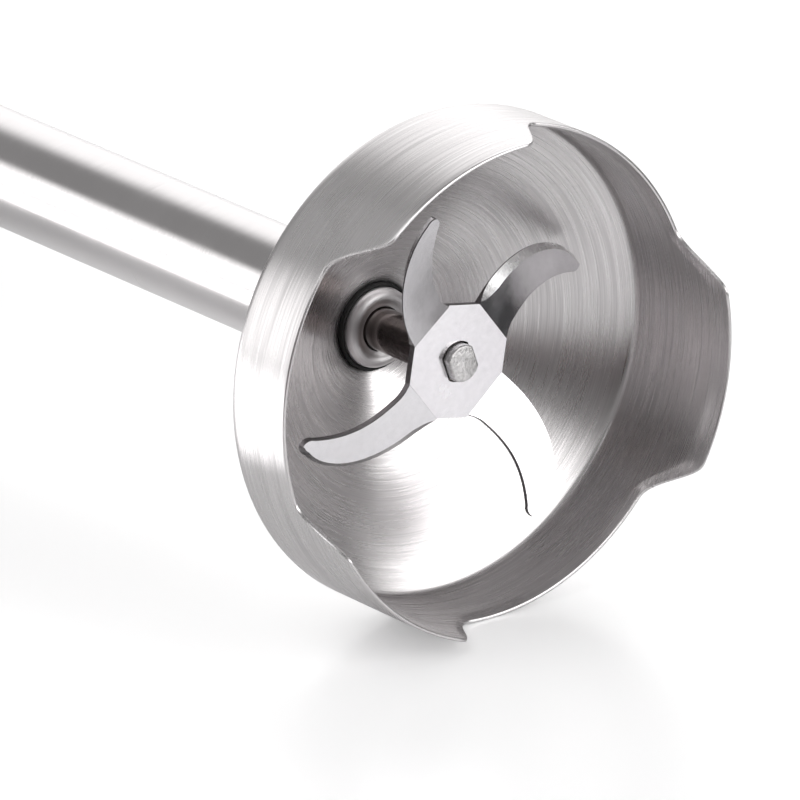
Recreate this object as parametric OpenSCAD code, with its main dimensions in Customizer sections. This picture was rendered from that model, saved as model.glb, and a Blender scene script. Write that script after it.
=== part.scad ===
// Immersion blender lying on its side: a stainless foot with a four-armed blade,
// a twist-lock collar, and a motor handle. The shaft runs level along X, with the
// bell mouth towards +X and the cord inlet towards -X. Millimetres.

/* [Overall] */
// Length from the bell's tabs to the dial
total_l = 400; // [400:1:400]
// Outer radius of the bell, and height of the shaft above the table
bell_r = 40; // [40:1:40]
// Play between a shaft and its bush
run_gap = 0.05; // [0.02:0.01:0.08]
// Play between parts that are pressed or clipped together
seat_gap = 0.03; // [0.02:0.01:0.05]

/* [Bell] */
// Sheet thickness of the bell
sheet = 1; // [0.9:0.05:1.1]
// Depth of the skirt in front of the dished plate, at a tab
tab_depth = 22.9; // [22:0.1:25]
// Depth of the skirt in front of the dished plate, at a recess
recess_depth = 13.3; // [13:0.1:16]
// Depth of the dished plate
dish_depth = 16; // [15:0.1:17]
// Radius of the hole at the middle of the dish
hub_hole_r = 7.1; // [7:0.05:7.3]
// Number of tabs round the rim
tab_count = 3; // [3:1:3]
// Direction of the first tab, from +Y towards +Z
tab_turn = -9.2; // [-10:0.1:10]
// Half the angle that a tab spans at half its height
tab_half = 25.9; // [24:0.1:28]
// Angle over which a tab's side falls to the recess
tab_side = 14; // [10:0.5:16]

/* [Foot] */
// Outer radius of the foot tube
tube_r = 9.2; // [9.1:0.05:9.3]
// Wall of the foot tube
tube_wall = 0.8; // [0.6:0.05:0.8]
// Radius of the drive shaft
shaft_r = 3.4; // [3.3:0.05:3.45]
// Where the shaft ends, in front of the plate's corner
shaft_end = 6.6; // [6:0.1:7.5]
// Outer radius of the steel sleeve round the shaft
sleeve_r = 6.5; // [6.4:0.05:6.6]

/* [Blade] */
// Thickness of the blade plate
blade_t = 1.2; // [1:0.05:1.3]
// Width of an arm at its fold, on the bowed side of its middle line
root_out = 4.1; // [3.8:0.1:4.2]
// Width of an arm at its fold, on the hollow side of its middle line
root_in = 3.6; // [3.4:0.1:3.8]
// Distance from the axis to the tip of an arm, along the arm
arm_l = 27.8; // [26:0.1:28.5]
// How far the shaft's riveted end stands out of the blade
rivet_h = 1.5; // [1:0.1:1.6]
// Distance from the axis to each fold
fold_r = 8.5; // [8:0.1:9]
// Forward bend of the first pair of arms
bend_out = 18; // [14:1:20]
// Backward bend of the second pair of arms
bend_in = 12; // [8:1:14]
// Radius of the shaft's neck in the blade
neck_r = 3; // [2.9:0.05:3.1]
// Distance from the axis to each flat of the neck
neck_flat = 2.5; // [2.4:0.05:2.6]
// Direction of the neck's flats, from +Y towards +Z
flat_turn = 110; // [100:1:120]
// Direction of the first forward arm, from +Y towards +Z
blade_turn = 128; // [120:1:136]

/* [Collar] */
// Radius of the spigot that goes into the handle
spigot_r = 16; // [16:0.1:16]
// Turn that unlocks the foot
unlock_turn = 35; // [30:1:36]

/* [Handle] */
// Radius of the handle's nose
nose_r = 24; // [24:0.5:25]
// Wall of the handle's shells
wall = 2.2; // [2:0.1:2.4]
// Play round each button
button_gap = 0.35; // [0.3:0.05:0.5]
// Travel of the two buttons
button_travel = 2.2; // [1.5:0.1:2.2]

/* [Motor] */
// Radius of the stator
stator_r = 22; // [21:0.1:22]
// Radius of the armature
armature_r = 12; // [11.5:0.1:12]
// Radius of the motor's shaft
rotor_r = 2.5; // [2.4:0.05:2.5]

/* [Hidden] */
$fn = 96;
eps = 0.01;
axis_h = bell_r;
half_l = total_l / 2;
corner_x = half_l - tab_depth;
skirt_in = bell_r - sheet;
corner_round = 1.4;
shoulder_round = 3;
plate_r = skirt_in - 0.95;
plate_slope = dish_depth / (plate_r - hub_hole_r);
sheet_x = sheet * sqrt(1 + plate_slope * plate_slope);
blade_front = corner_x + shaft_end - rivet_h;
blade_back = blade_front - blade_t;
sleeve_front = corner_x - dish_depth + 2.4;
// How far the lip seal stands out round the sleeve
seal_lip = 0.8;
// How much wider an arm is on its concave side where it meets the hub, and how far that reaches
root_flare = 0.9;
flare_l = 3;
// Where an arm's concave edge starts to curve away, how far it drops, and how far it stops
// short of the tip
hollow_x = 11.5;
hollow_h = 5.3;
tip_back = 2.6;
tube_end = 20;
joint_x = 8.3;
collar_l = 29;
shell_x0 = 4;
shell_x1 = -176;
cap_x1 = -195;
cap_round = 15;
grow_w = 8;
grow_up = 5;
grow_down = 13.5;
power_x = -130;
turbo_x = -156;
board_top = 7.6;
board_t = 1.6;
button_floor = 17;
button_proud = 1.6;
dial_up = 8;
dial_r = 13;
gland_down = 19;
lug_r = 18.5;
lug_half = 12;
lug_gap = 0.3;
screw_xs = [-122, -168];
screw_y = 20.5;
boss_r = 3.8;
fan_blades = 9;
section_n = 44;

// ---- helpers ----

// Turns a shape drawn about Z so that it runs along X on the shaft's axis:
// local X becomes Y, local Y becomes Z, and local Z becomes X.
module on_axis(x = 0) {
    translate([x, 0, axis_h]) rotate([90, 0, 90]) children();
}

// A ring or disc on the axis, from x0 to x1.
module ring(x0, x1, ro, ri = 0) {
    on_axis() rotate_extrude() translate([ri, min(x0, x1)]) square([ro - ri, abs(x1 - x0)]);
}

// A solid of revolution on the axis, from [radius, x] points.
module turned(points) {
    on_axis() rotate_extrude() polygon(points);
}

// A plate drawn in the Y-Z plane and pulled from x0 to x1.
module plate(x0, x1) {
    on_axis(x0) linear_extrude(x1 - x0) children();
}

// A ring sector on the axis.
module sector(x0, x1, ro, ri, middle, half) {
    on_axis() rotate([0, 0, middle - half]) rotate_extrude(angle = 2 * half)
        translate([ri, x0]) square([ro - ri, x1 - x0]);
}

// A rounded bar of length l across X and width w across Y, standing along Z.
module stadium(l, w, h) {
    union() {
        for (side = [-1, 1]) translate([side * (l - w) / 2, 0, 0]) cylinder(d = w, h = h);
        translate([-(l - w) / 2, -w / 2, 0]) cube([l - w, w, h]);
    }
}

// Faces of a closed tube of rows rings with sides points each.
function tube_faces(rows, sides) = concat(
    [[for (k = [sides - 1:-1:0]) k]],
    [for (i = [0:rows - 2], k = [0:sides - 1]) let (m = (k + 1) % sides)
        each [[i * sides + k, i * sides + m, (i + 1) * sides + m],
              [i * sides + k, (i + 1) * sides + m, (i + 1) * sides + k]]],
    [[for (k = [0:sides - 1]) (rows - 1) * sides + k]]);

// A small coil spring along Z.
module coil_spring(r, wire, height, turns) {
    sides = 6;
    steps = 12 * turns;
    points = [for (i = [0:steps], k = [0:sides - 1])
        let (a = 360 * turns * i / steps, b = 360 * k / sides,
             rr = r + wire / 2 * cos(b),
             z = wire / 2 + (height - wire) * i / steps + wire / 2 * sin(b))
        [rr * cos(a), rr * sin(a), z]];
    polyhedron(points, tube_faces(steps + 1, sides), convexity = 8);
}

// ---- the bell ----

function plate_x(r) = corner_x - (plate_r - r) * plate_slope;

// Height of the rim over the plate's corner at an angle from a recess's middle. The
// curve's top lies a little above the tabs, so that it meets their flat edge at an angle.
function rim_x(angle) =
    let (edge = 180 / tab_count - tab_half,
         k = min(1, max(0, (abs(angle) - edge) / tab_side + 0.5)))
    recess_depth + (tab_depth + 0.6 - recess_depth) * (1 - cos(180 * k)) / 2;

// Outline that is cut out of the skirt at one recess, seen from outside.
module recess_outline() {
    edge = 180 / tab_count - tab_half + tab_side / 2;
    polygon(concat(
        [for (i = [-16:16]) let (a = edge * i / 16) [bell_r * sin(a), rim_x(a)]],
        [[bell_r * sin(edge), tab_depth + 3], [-bell_r * sin(edge), tab_depth + 3]]));
}

// Points of a round corner in a [radius, x] profile, from the direction a0 to a1, where
// 0 points away from the axis and 90 points to the bell's mouth.
function corner(r, x, round, a0, a1, n = 8) =
    [for (i = [0:n]) let (a = a0 + (a1 - a0) * i / n) [r + round * cos(a), x + round * sin(a)]];

module bell_guard() {
    dish_angle = atan(plate_slope);
    corner_r = skirt_in - corner_round;
    corner_rise = corner_round / cos(dish_angle);
    shoulder_r = bell_r - shoulder_round;
    shoulder_rise = shoulder_round / cos(dish_angle) - sheet_x;
    neck_back = plate_x(hub_hole_r) - 5;
    neck_r = hub_hole_r + 0.9;
    color("silver") difference() {
        turned(concat(
            [[hub_hole_r, plate_x(hub_hole_r)]],
            corner(corner_r, plate_x(corner_r) + corner_rise, corner_round, dish_angle - 90, 0),
            [[skirt_in, half_l], [bell_r, half_l]],
            corner(shoulder_r, plate_x(shoulder_r) + shoulder_rise, shoulder_round, 0, dish_angle - 90),
            [[neck_r, plate_x(neck_r) - sheet_x], [neck_r, neck_back], [hub_hole_r, neck_back]]));
        for (i = [0:tab_count - 1])
            on_axis(corner_x) rotate([0, 0, tab_turn + (i + 0.5) * 360 / tab_count])
                rotate([90, 0, 90]) linear_extrude(bell_r + 5) recess_outline();
    }
}

module foot_tube() {
    front = plate_x(tube_r) - sheet_x;
    color("silver") turned([[tube_r - tube_wall, tube_end], [tube_r, tube_end],
        [tube_r, front], [tube_r - tube_wall, front - tube_wall * plate_slope]]);
}

module nose_sleeve() {
    back_x = sleeve_front - 16;
    color("gainsboro") turned([[shaft_r + run_gap, back_x], [sleeve_r, back_x], [sleeve_r, sleeve_front - 1.5],
        [sleeve_r - 0.4, sleeve_front - 0.45], [sleeve_r - 0.9, sleeve_front - 0.08],
        [sleeve_r - 1.3, sleeve_front], [sleeve_r - 1.7, sleeve_front - 0.1],
        [sleeve_r - 2.6, sleeve_front - 0.6], [shaft_r + run_gap, sleeve_front - 0.65]]);
}

module lip_seal() {
    back_x = plate_x(hub_hole_r) - 4.5;
    front_x = plate_x(hub_hole_r) + seal_lip;
    color([0.05, 0.05, 0.05]) ring(back_x, front_x, hub_hole_r - seat_gap, sleeve_r + seat_gap);
}

module lower_bearing() {
    front_x = sleeve_front - 16.2;
    color("peru") ring(front_x - 12, front_x, tube_r - tube_wall - seat_gap, shaft_r + run_gap);
}

module shaft_sealing_ring() {
    front_x = sleeve_front - 29;
    color([0.05, 0.05, 0.05]) ring(front_x - 3, front_x, tube_r - tube_wall - seat_gap, shaft_r + run_gap);
}

module upper_bearing() {
    color("peru") ring(tube_end + 2, tube_end + 14, tube_r - tube_wall - seat_gap, shaft_r + run_gap);
}

// ---- the drive shaft and the blade ----

// The shaft's neck and the blade's hole: a circle with two flats.
module double_d(gap) {
    intersection() {
        circle(r = neck_r + gap);
        square([3 * neck_r, 2 * (neck_flat + gap)], center = true);
    }
}

module drive_shaft() {
    color("silver") union() {
        ring(-4, blade_back, shaft_r);
        plate(blade_back - eps, corner_x + shaft_end - 0.3) rotate([0, 0, flat_turn]) double_d(0);
        turned([[0, corner_x + shaft_end - 0.4], [neck_flat, corner_x + shaft_end - 0.4],
            [neck_flat - 0.6, corner_x + shaft_end], [0, corner_x + shaft_end]]);
    }
}

// How far the concave edge of an arm stands out beside the fold, in a soft hollow.
function flare(x) = root_flare * pow(max(0, 1 - (x - fold_r) / flare_l), 2);

// The concave edge of an arm, which curves away as it nears the tip.
function arm_inner(x) =
    -root_in - flare(x) - hollow_h * pow(max(0, (x - hollow_x) / (arm_l - tip_back - hollow_x)), 2.6);

// Outline of one arm, from reach to the tip, along local X.
module arm_outline(reach) {
    bow_l = 17.2;
    bow_h = 12.5;
    bow_x = arm_l - bow_l;
    bow = [for (i = [0:12]) let (a = 90 - 86 * i / 12)
        [bow_x + bow_l * cos(a), root_out - bow_h + bow_h * sin(a)]];
    end_x = arm_l - tip_back;
    tip_in = [end_x, arm_inner(end_x)];
    middle = (bow[12] + tip_in) / 2;
    half = (bow[12] - tip_in) / 2;
    polygon(concat(
        [[reach, root_out]],
        bow,
        [for (i = [1:5]) middle + half * cos(30 * i) + [half[1], -half[0]] * sin(30 * i)],
        [for (i = [0:12]) let (x = end_x + (fold_r - end_x) * (1 - cos(7.5 * i))) [x, arm_inner(x)]],
        [[reach, -root_in - root_flare]]));
}

module blade_hub() {
    wide_in = root_in + root_flare;
    corners = [for (i = [0:3]) let (c = cos(90 * i), d = sin(90 * i))
        each [[fold_r * c + wide_in * d, fold_r * d - wide_in * c],
              [fold_r * c - root_out * d, fold_r * d + root_out * c]]];
    difference() {
        polygon(corners);
        rotate([0, 0, flat_turn - blade_turn]) double_d(seat_gap);
    }
}

module blade() {
    color("gainsboro") union() {
        plate(blade_back, blade_front) rotate([0, 0, blade_turn]) blade_hub();
        for (i = [0:3]) {
            bend = i % 2 == 0 ? bend_out : -bend_in;
            on_axis(blade_back) rotate([0, 0, blade_turn + 90 * i])
                translate([fold_r, 0, blade_t / 2]) rotate([0, -bend, 0]) translate([-fold_r, 0, -blade_t / 2])
                    linear_extrude(blade_t) arm_outline(fold_r - 0.25);
        }
    }
}

module thrust_washer() {
    color("gainsboro") ring(tube_end + 0.6, tube_end + 1.9, 7, shaft_r + seat_gap);
}

module shaft_clip() {
    clip_x = tube_end - 1.2;
    color("dimgray") difference() {
        ring(clip_x, clip_x + 0.8, 5.6, shaft_r + seat_gap);
        on_axis(clip_x - 1) translate([0, -1.6, 0]) cube([10, 3.2, 4]);
    }
}

module coupling_socket() {
    hex_r = 6.2;
    color([0.12, 0.12, 0.13]) difference() {
        ring(-19, 12, 10.5);
        on_axis(-19 - eps) cylinder(r = hex_r, h = 13.5, $fn = 6);
        ring(-5, 13, shaft_r + seat_gap);
        for (i = [0:5]) on_axis(-19 - eps) rotate([0, 0, 60 * i])
            translate([10.9, 0, 0]) cylinder(r = 1.3, h = 24);
    }
}

// ---- the twist-lock collar ----

module foot_collar() {
    color([0.16, 0.16, 0.17]) union() {
        turned([[11.4, -14], [spigot_r - 0.3, -14], [spigot_r, -13.7], [spigot_r, joint_x], [23.4, joint_x],
            [23.4, joint_x + 6], [22.6, joint_x + 10], [20.4, joint_x + 14], [17.2, joint_x + 18],
            [14.4, joint_x + 22], [12.7, joint_x + 26], [12, joint_x + collar_l],
            [tube_r + seat_gap, joint_x + collar_l],
            [tube_r + seat_gap, tube_end - 2], [11.4, tube_end - 2]]);
        for (i = [0:2]) sector(-9.6, -5.4, lug_r, spigot_r - 0.2, 120 * i + 90, lug_half);
    }
}

module collar_ring() {
    x0 = joint_x + collar_l;
    color("silver") ring(x0 + 0.1, x0 + 4.1, 12.2, tube_r + seat_gap);
}

// ---- the motor ----

module drive_dog() {
    color([0.8, 0.78, 0.7]) difference() {
        union() {
            on_axis(-19.5) cylinder(r = 5.8, h = 13, $fn = 6);
            ring(-23.5, -19.4, 6.5);
        }
        ring(-24, -9, rotor_r + seat_gap);
    }
}

module motor_shaft() {
    color("silver") ring(-115, -10, rotor_r);
}

module armature_core() {
    color([0.35, 0.36, 0.38]) difference() {
        ring(-86, -58, armature_r, rotor_r + seat_gap);
        for (i = [0:11]) on_axis(-87) rotate([0, 0, 30 * i + 15]) union() {
            translate([armature_r - 3.4, -1.1, 0]) cube([2.2, 2.2, 30]);
            translate([armature_r - 1.5, -0.5, 0]) cube([3, 1, 30]);
        }
    }
}

module armature_windings() {
    color([0.72, 0.38, 0.16]) {
        turned([[4, -57.9], [10.6, -57.9], [10.6, -56], [8.6, -53], [4, -52]]);
        turned([[4, -86.1], [10.6, -86.1], [10.6, -88], [8.6, -91], [4, -92]]);
    }
}

module commutator() {
    color([0.72, 0.42, 0.2]) difference() {
        ring(-104, -92.5, 7, rotor_r + seat_gap);
        for (i = [0:11]) on_axis(-105) rotate([0, 0, 30 * i]) translate([6.3, -0.2, 0]) cube([2, 0.4, 14]);
    }
}

module cooling_fan() {
    color([0.2, 0.2, 0.22]) difference() {
        union() {
            ring(-41, -39.5, 18.4);
            ring(-50, -39.5, 6);
            for (i = [0:fan_blades - 1]) on_axis(-50) rotate([0, 0, 360 / fan_blades * i])
                translate([5.5, -0.6, 0]) rotate([0, 0, 12]) cube([12.6, 1.2, 9.5]);
        }
        ring(-51, -38, rotor_r + seat_gap);
    }
}

module stator_core() {
    pole_half = 38;
    color([0.4, 0.41, 0.43]) difference() {
        union() {
            ring(-86, -58, stator_r, stator_r - 3.4);
            for (side = [0, 180]) {
                sector(-86, -58, armature_r + 2.9, armature_r + 0.4, 90 + side, pole_half);
                plate(-86, -58) rotate([0, 0, 90 + side]) translate([armature_r + 2.6, -5])
                    square([stator_r - armature_r - 4.2, 10]);
            }
        }
        for (a = [45:90:315]) on_axis(-87) rotate([0, 0, a])
            translate([stator_r - 1.7, 0, 0]) cylinder(r = 1, h = 30);
    }
}

module field_coils() {
    half_w = 7.6;
    core_half = 5.2;
    color([0.75, 0.4, 0.15]) for (side = [0, 180]) difference() {
        plate(-91, -53) rotate([0, 0, 90 + side]) translate([armature_r + 3.1, -half_w])
            square([1.8, 2 * half_w]);
        plate(-86.4, -57.6) rotate([0, 0, 90 + side]) translate([armature_r, -core_half])
            square([8, 2 * core_half]);
    }
}

// A motor end frame: a disc with air holes, a bearing seat and two arms.
module end_frame(x0, x1, r, arm_x0, arm_x1) {
    difference() {
        union() {
            ring(x0, x1, r);
            ring(min(x0, x1), max(x0, x1), 10.5);
            for (side = [0, 180]) sector(arm_x0, arm_x1, stator_r - 0.6, stator_r - 2.8, side + 45, 8);
            for (side = [0, 180]) sector(arm_x0, arm_x1, stator_r - 0.6, stator_r - 2.8, side - 45, 8);
        }
        ring(x0 - 1, x1 + 1, 8 + seat_gap);
        for (i = [0:7]) on_axis(x0 - 1) rotate([0, 0, 45 * i])
            translate([14, 0, 0]) cylinder(r = 2.8, h = x1 - x0 + 2);
    }
}

module front_frame() {
    color([0.75, 0.76, 0.78]) end_frame(-33, -28, 21.5, -57.9, -32.9);
}

module rear_frame() {
    color([0.75, 0.76, 0.78]) end_frame(-113, -108, 23, -108.1, -86.1);
}

// A ball bearing seen as two rings with a shield between them.
module ball_bearing(x0) {
    difference() {
        ring(x0, x0 + 5, 8, rotor_r + seat_gap);
        ring(x0 - 1, x0 + 0.4, 6.6, 4);
        ring(x0 + 4.6, x0 + 6, 6.6, 4);
    }
}

module front_motor_bearing() {
    color("silver") ball_bearing(-33);
}

module rear_motor_bearing() {
    color("silver") ball_bearing(-113);
}

module brush_holders() {
    color([0.8, 0.66, 0.3]) for (side = [-1, 1]) difference() {
        translate([-102, side * 14 - 5, axis_h - 4]) cube([8, 10, 8]);
        translate([-100.8, side * 14 - 6, axis_h - 2.8]) cube([5.6, 12, 5.6]);
    }
}

module carbon_brushes() {
    color([0.18, 0.18, 0.19]) for (side = [0, 180]) difference() {
        on_axis(-100.7) rotate([0, 0, side]) translate([6.9, -2.7, 0]) cube([8, 5.4, 5.4]);
        ring(-102, -94, 7.2);
    }
}

module brush_springs() {
    color("silver") for (side = [0, 180])
        on_axis(-98) rotate([0, 0, side]) translate([15, 0, 0]) rotate([0, 90, 0])
            coil_spring(1.8, 0.5, 3.9, 3);
}

module front_damper() {
    color([0.08, 0.08, 0.08]) ring(-33, -28, 22.1, 21.5 + seat_gap);
}

module rear_damper() {
    color([0.08, 0.08, 0.08]) ring(-113, -108, 24.8, 23 + seat_gap);
}

// ---- the handle ----

function swell(x) = let (t = min(1, max(0, (shell_x0 - x) / (shell_x0 - shell_x1)))) t * t * (3 - 2 * t);
// How far the closed end draws in at its rounded edge.
function draw_in(x) = x > shell_x1 ? 0 :
    let (k = min(1, (shell_x1 - x) / (shell_x1 - cap_x1))) cap_round * (1 - sqrt(max(0, 1 - k * k)));
function power_of(v, p) = sign(v) * pow(abs(v), p);
function section(x, inset) =
    [for (i = [0:section_n - 1]) let (a = 360 * i / section_n, s = sin(a), d = inset + draw_in(x))
        [x, (nose_r + grow_w * swell(x) - d) * power_of(cos(a), 0.92),
         axis_h + (nose_r + (s > 0 ? grow_up : grow_down) * swell(x) - d) * power_of(s, 0.92)]];

// The handle's outer shape between two stations, drawn in by inset.
module handle_form(xs, inset) {
    polyhedron([for (x = xs) each section(x, inset)], tube_faces(len(xs), section_n), convexity = 6);
}

function stations(x0, x1, n) = [for (i = [0:n]) x0 + (x1 - x0) * i / n];

// The hollow wall of the two shells.
module shell_wall() {
    difference() {
        handle_form(stations(shell_x0, shell_x1, 15), 0);
        handle_form(stations(shell_x0 + 1, shell_x1 - 1, 15), wall);
    }
}

module upper_half(gap = 0.05) {
    translate([shell_x1 - 30, -60, axis_h + gap]) cube([230, 120, 60]);
}

module lower_half(gap = 0.05) {
    translate([shell_x1 - 30, -60, axis_h - gap - 60]) cube([230, 120, 60]);
}

// Air slots on both sides of the handle, level with the fan.
module air_slots() {
    for (i = [0:4], side = [-1, 1])
        translate([-38 - 4.4 * i, side * 22, axis_h + 9]) rotate([side * -35, 0, 0])
            translate([-1, -8, -6]) cube([2, 16, 12]);
}

module power_hole(gap) {
    translate([power_x, 0, axis_h + 12]) stadium(26 + 2 * gap, 15 + 2 * gap, 30);
}

module turbo_hole(gap) {
    translate([turbo_x, 0, axis_h + 12]) stadium(16 + 2 * gap, 15 + 2 * gap, 30);
}

module screw_bosses(z0, z1) {
    for (x = screw_xs, side = [-1, 1])
        translate([x, side * screw_y, axis_h + z0]) cylinder(r = boss_r, h = z1 - z0);
}

module front_shell() {
    color([0.1, 0.1, 0.11]) difference() {
        union() {
            intersection() {
                shell_wall();
                upper_half();
            }
            intersection() {
                screw_bosses(0.05, 22);
                handle_form(stations(shell_x0, shell_x1, 15), wall - 0.3);
            }
        }
        power_hole(button_gap);
        turbo_hole(button_gap);
        air_slots();
        for (x = screw_xs, side = [-1, 1])
            translate([x, side * screw_y, axis_h - 1]) cylinder(r = 1.5, h = 9.05);
    }
}

// The stretch of the rear shell that the soft grip covers.
module grip_zone(trim) {
    translate([-112 + trim, -60, axis_h - 70]) cube([84 - 2 * trim, 120, 62 - trim]);
}

module grip_skin(inner) {
    difference() {
        handle_form(stations(shell_x0, shell_x1, 15), -1);
        handle_form(stations(shell_x0 + 1, shell_x1 - 1, 15), inner);
    }
}

module rear_shell() {
    color([0.1, 0.1, 0.11]) difference() {
        union() {
            intersection() {
                shell_wall();
                lower_half();
            }
            intersection() {
                screw_bosses(-34, -0.05);
                handle_form(stations(shell_x0, shell_x1, 15), wall - 0.3);
            }
        }
        intersection() {
            grip_skin(1.2);
            grip_zone(0);
        }
        for (x = screw_xs, side = [-1, 1]) translate([x, side * screw_y, axis_h - 60]) union() {
            cylinder(r = 1.7, h = 61);
            cylinder(r = 3, h = 52);
        }
    }
}

module grip_pad() {
    color([0.3, 0.3, 0.31]) intersection() {
        difference() {
            handle_form(stations(shell_x0, shell_x1, 15), 0);
            handle_form(stations(shell_x0 + 1, shell_x1 - 1, 15), 1.15);
        }
        grip_zone(0.2);
    }
}

module rest_pad() {
    color([0.08, 0.08, 0.08]) difference() {
        translate([-172, -13, 0]) cube([34, 26, 8]);
        handle_form(stations(shell_x0, shell_x1, 15), -0.02);
    }
}

module end_cap() {
    dial_seat = dial_r + 0.6;
    color([0.12, 0.12, 0.13]) difference() {
        handle_form(stations(shell_x1 - 0.1, cap_x1, 8), 0);
        handle_form([shell_x1 + 1, shell_x1 - 4, shell_x1 - 10, cap_x1 + 3], wall);
        translate([cap_x1 - 5, 0, axis_h + dial_up]) rotate([0, 90, 0]) cylinder(r = dial_seat, h = 5.6);
        translate([cap_x1 - 5, 0, axis_h + dial_up]) rotate([0, 90, 0]) cylinder(r = 4.4, h = 15);
        translate([cap_x1 - 5, 0, axis_h - gland_down]) rotate([0, 90, 0]) cylinder(r = 6.5 + seat_gap, h = 15);
    }
}

module cord_gland() {
    color([0.07, 0.07, 0.07]) translate([-half_l, 0, axis_h - gland_down]) rotate([0, 90, 0]) rotate_extrude()
        polygon([[3.6, 0], [5, 0], [6.3, 1], [6.5, 4], [8, 4.01], [8, 4.9], [6.5, 4.95], [6.5, 12], [3.6, 12]]);
}

module circuit_board() {
    color([0.1, 0.35, 0.2]) translate([-172, -15, axis_h + board_top - board_t]) cube([54, 30, board_t]);
}

// A push switch on the board, under a button.
module push_switch(x) {
    translate([x - 4, -4, axis_h + board_top]) cube([8, 8, 5]);
    translate([x, 0, axis_h + board_top + 5]) cylinder(r = 2, h = 1.9);
}

module power_switch() {
    color([0.15, 0.15, 0.16]) push_switch(power_x);
}

module turbo_switch() {
    color([0.15, 0.15, 0.16]) push_switch(turbo_x);
}

module potentiometer() {
    color([0.5, 0.5, 0.45]) difference() {
        translate([-184.5, 0, axis_h + dial_up]) rotate([0, 90, 0]) cylinder(r = 9, h = 8);
        translate([-186, 0, axis_h + dial_up]) rotate([0, 90, 0]) cylinder(r = 3 + 0.1, h = 8);
    }
}

// A button: a plug through its hole, crowned like the handle and a little proud of it.
module button_form() {
    intersection() {
        children();
        handle_form(stations(shell_x0, shell_x1, 15), -button_proud);
        translate([-200, -30, axis_h + button_floor]) cube([120, 60, 40]);
    }
}

module power_button() {
    color([0.62, 0.63, 0.65]) button_form() power_hole(0);
}

module turbo_button() {
    color([0.62, 0.63, 0.65]) button_form() turbo_hole(0);
}

module power_spring() {
    color("silver") translate([power_x, 0, axis_h + board_top])
        coil_spring(6.6, 0.7, button_floor - board_top, 4);
}

module turbo_spring() {
    color("silver") translate([turbo_x, 0, axis_h + board_top])
        coil_spring(6.6, 0.7, button_floor - board_top, 4);
}

module speed_dial() {
    color([0.62, 0.63, 0.65]) translate([-half_l, 0, axis_h + dial_up]) rotate([0, 90, 0]) difference() {
        union() {
            rotate_extrude() polygon([[0, 0.4], [dial_r - 2, 0], [dial_r - 0.6, 0.8], [dial_r, 2.2],
                [dial_r, 5.2], [4, 5.2], [4, 12], [3, 12], [3, 20], [0, 20]]);
        }
        for (i = [0:23]) rotate([0, 0, 15 * i]) translate([dial_r + 0.3, 0, 1.6]) cylinder(r = 0.8, h = 5);
    }
}

module lock_ring() {
    slot_half = lug_half + 1.2;
    color([0.85, 0.85, 0.83]) difference() {
        ring(-16, shell_x0 + 3.9, 21.6, spigot_r + lug_gap);
        for (i = [0:2]) {
            sector(-9.9, -5.1, lug_r + lug_gap, spigot_r, 120 * i + 90 + unlock_turn / 2,
                slot_half + unlock_turn / 2);
            sector(-7, 9, lug_r + lug_gap + 0.1, spigot_r - 0.1, 120 * i + 90 + unlock_turn, slot_half - 0.3);
        }
    }
}

module nose_ring() {
    color("silver") ring(shell_x0 + 0.05, joint_x - 0.3, nose_r + 0.3, 21.6 + seat_gap);
}

module shell_screws() {
    color("silver") for (x = screw_xs, side = [-1, 1]) translate([x, side * screw_y, axis_h]) union() {
        translate([0, 0, -10.9]) cylinder(r = 2.8, h = 2.8);
        translate([0, 0, -9]) cylinder(r = 1.45, h = 16);
    }
}

bell_guard();
foot_tube();
nose_sleeve();
lip_seal();
lower_bearing();
shaft_sealing_ring();
upper_bearing();
foot_collar();
collar_ring();
drive_shaft();
blade();
thrust_washer();
shaft_clip();
coupling_socket();
drive_dog();
motor_shaft();
armature_core();
armature_windings();
commutator();
cooling_fan();
stator_core();
field_coils();
front_frame();
rear_frame();
front_motor_bearing();
rear_motor_bearing();
brush_holders();
carbon_brushes();
brush_springs();
front_damper();
rear_damper();
lock_ring();
nose_ring();
front_shell();
rear_shell();
grip_pad();
rest_pad();
end_cap();
cord_gland();
circuit_board();
power_switch();
turbo_switch();
potentiometer();
power_button();
turbo_button();
power_spring();
turbo_spring();
speed_dial();
shell_screws();
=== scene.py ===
"""Immersion blender: steel foot with a four-armed blade, twist-lock collar and motor handle."""

import math

import bpy
import numpy as np
from bpy.props import FloatProperty, FloatVectorProperty, PointerProperty
from mathutils import Matrix, Vector


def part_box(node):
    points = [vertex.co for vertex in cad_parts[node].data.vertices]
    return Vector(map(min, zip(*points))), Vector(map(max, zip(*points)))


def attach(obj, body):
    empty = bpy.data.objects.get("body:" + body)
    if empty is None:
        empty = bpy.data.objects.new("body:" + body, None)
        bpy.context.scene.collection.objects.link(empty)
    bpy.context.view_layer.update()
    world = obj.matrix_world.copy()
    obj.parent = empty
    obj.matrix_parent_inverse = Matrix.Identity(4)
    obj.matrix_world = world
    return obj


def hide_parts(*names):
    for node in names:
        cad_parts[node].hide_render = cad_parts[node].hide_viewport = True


bl_info = {
    "name": "Immersion blender",
    "version": (1, 0, 0),
    "blender": (4, 5, 0),
    "location": "View3D > Sidebar > Hand blender",
    "description": "Builds the steel foot, the blade and the motor handle of an immersion blender",
    "category": "Object",
}

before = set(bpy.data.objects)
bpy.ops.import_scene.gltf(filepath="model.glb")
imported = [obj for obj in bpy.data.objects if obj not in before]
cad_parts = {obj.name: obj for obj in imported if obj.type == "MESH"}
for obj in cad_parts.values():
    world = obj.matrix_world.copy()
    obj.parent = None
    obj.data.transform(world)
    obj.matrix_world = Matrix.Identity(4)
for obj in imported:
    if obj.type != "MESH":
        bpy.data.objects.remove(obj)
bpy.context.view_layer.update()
MM = 0.001
FULL_TURN = 2 * math.pi

# ---- places taken from the frame, in millimetres ----


def low(node, axis):
    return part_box(node)[0][axis] / MM


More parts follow.
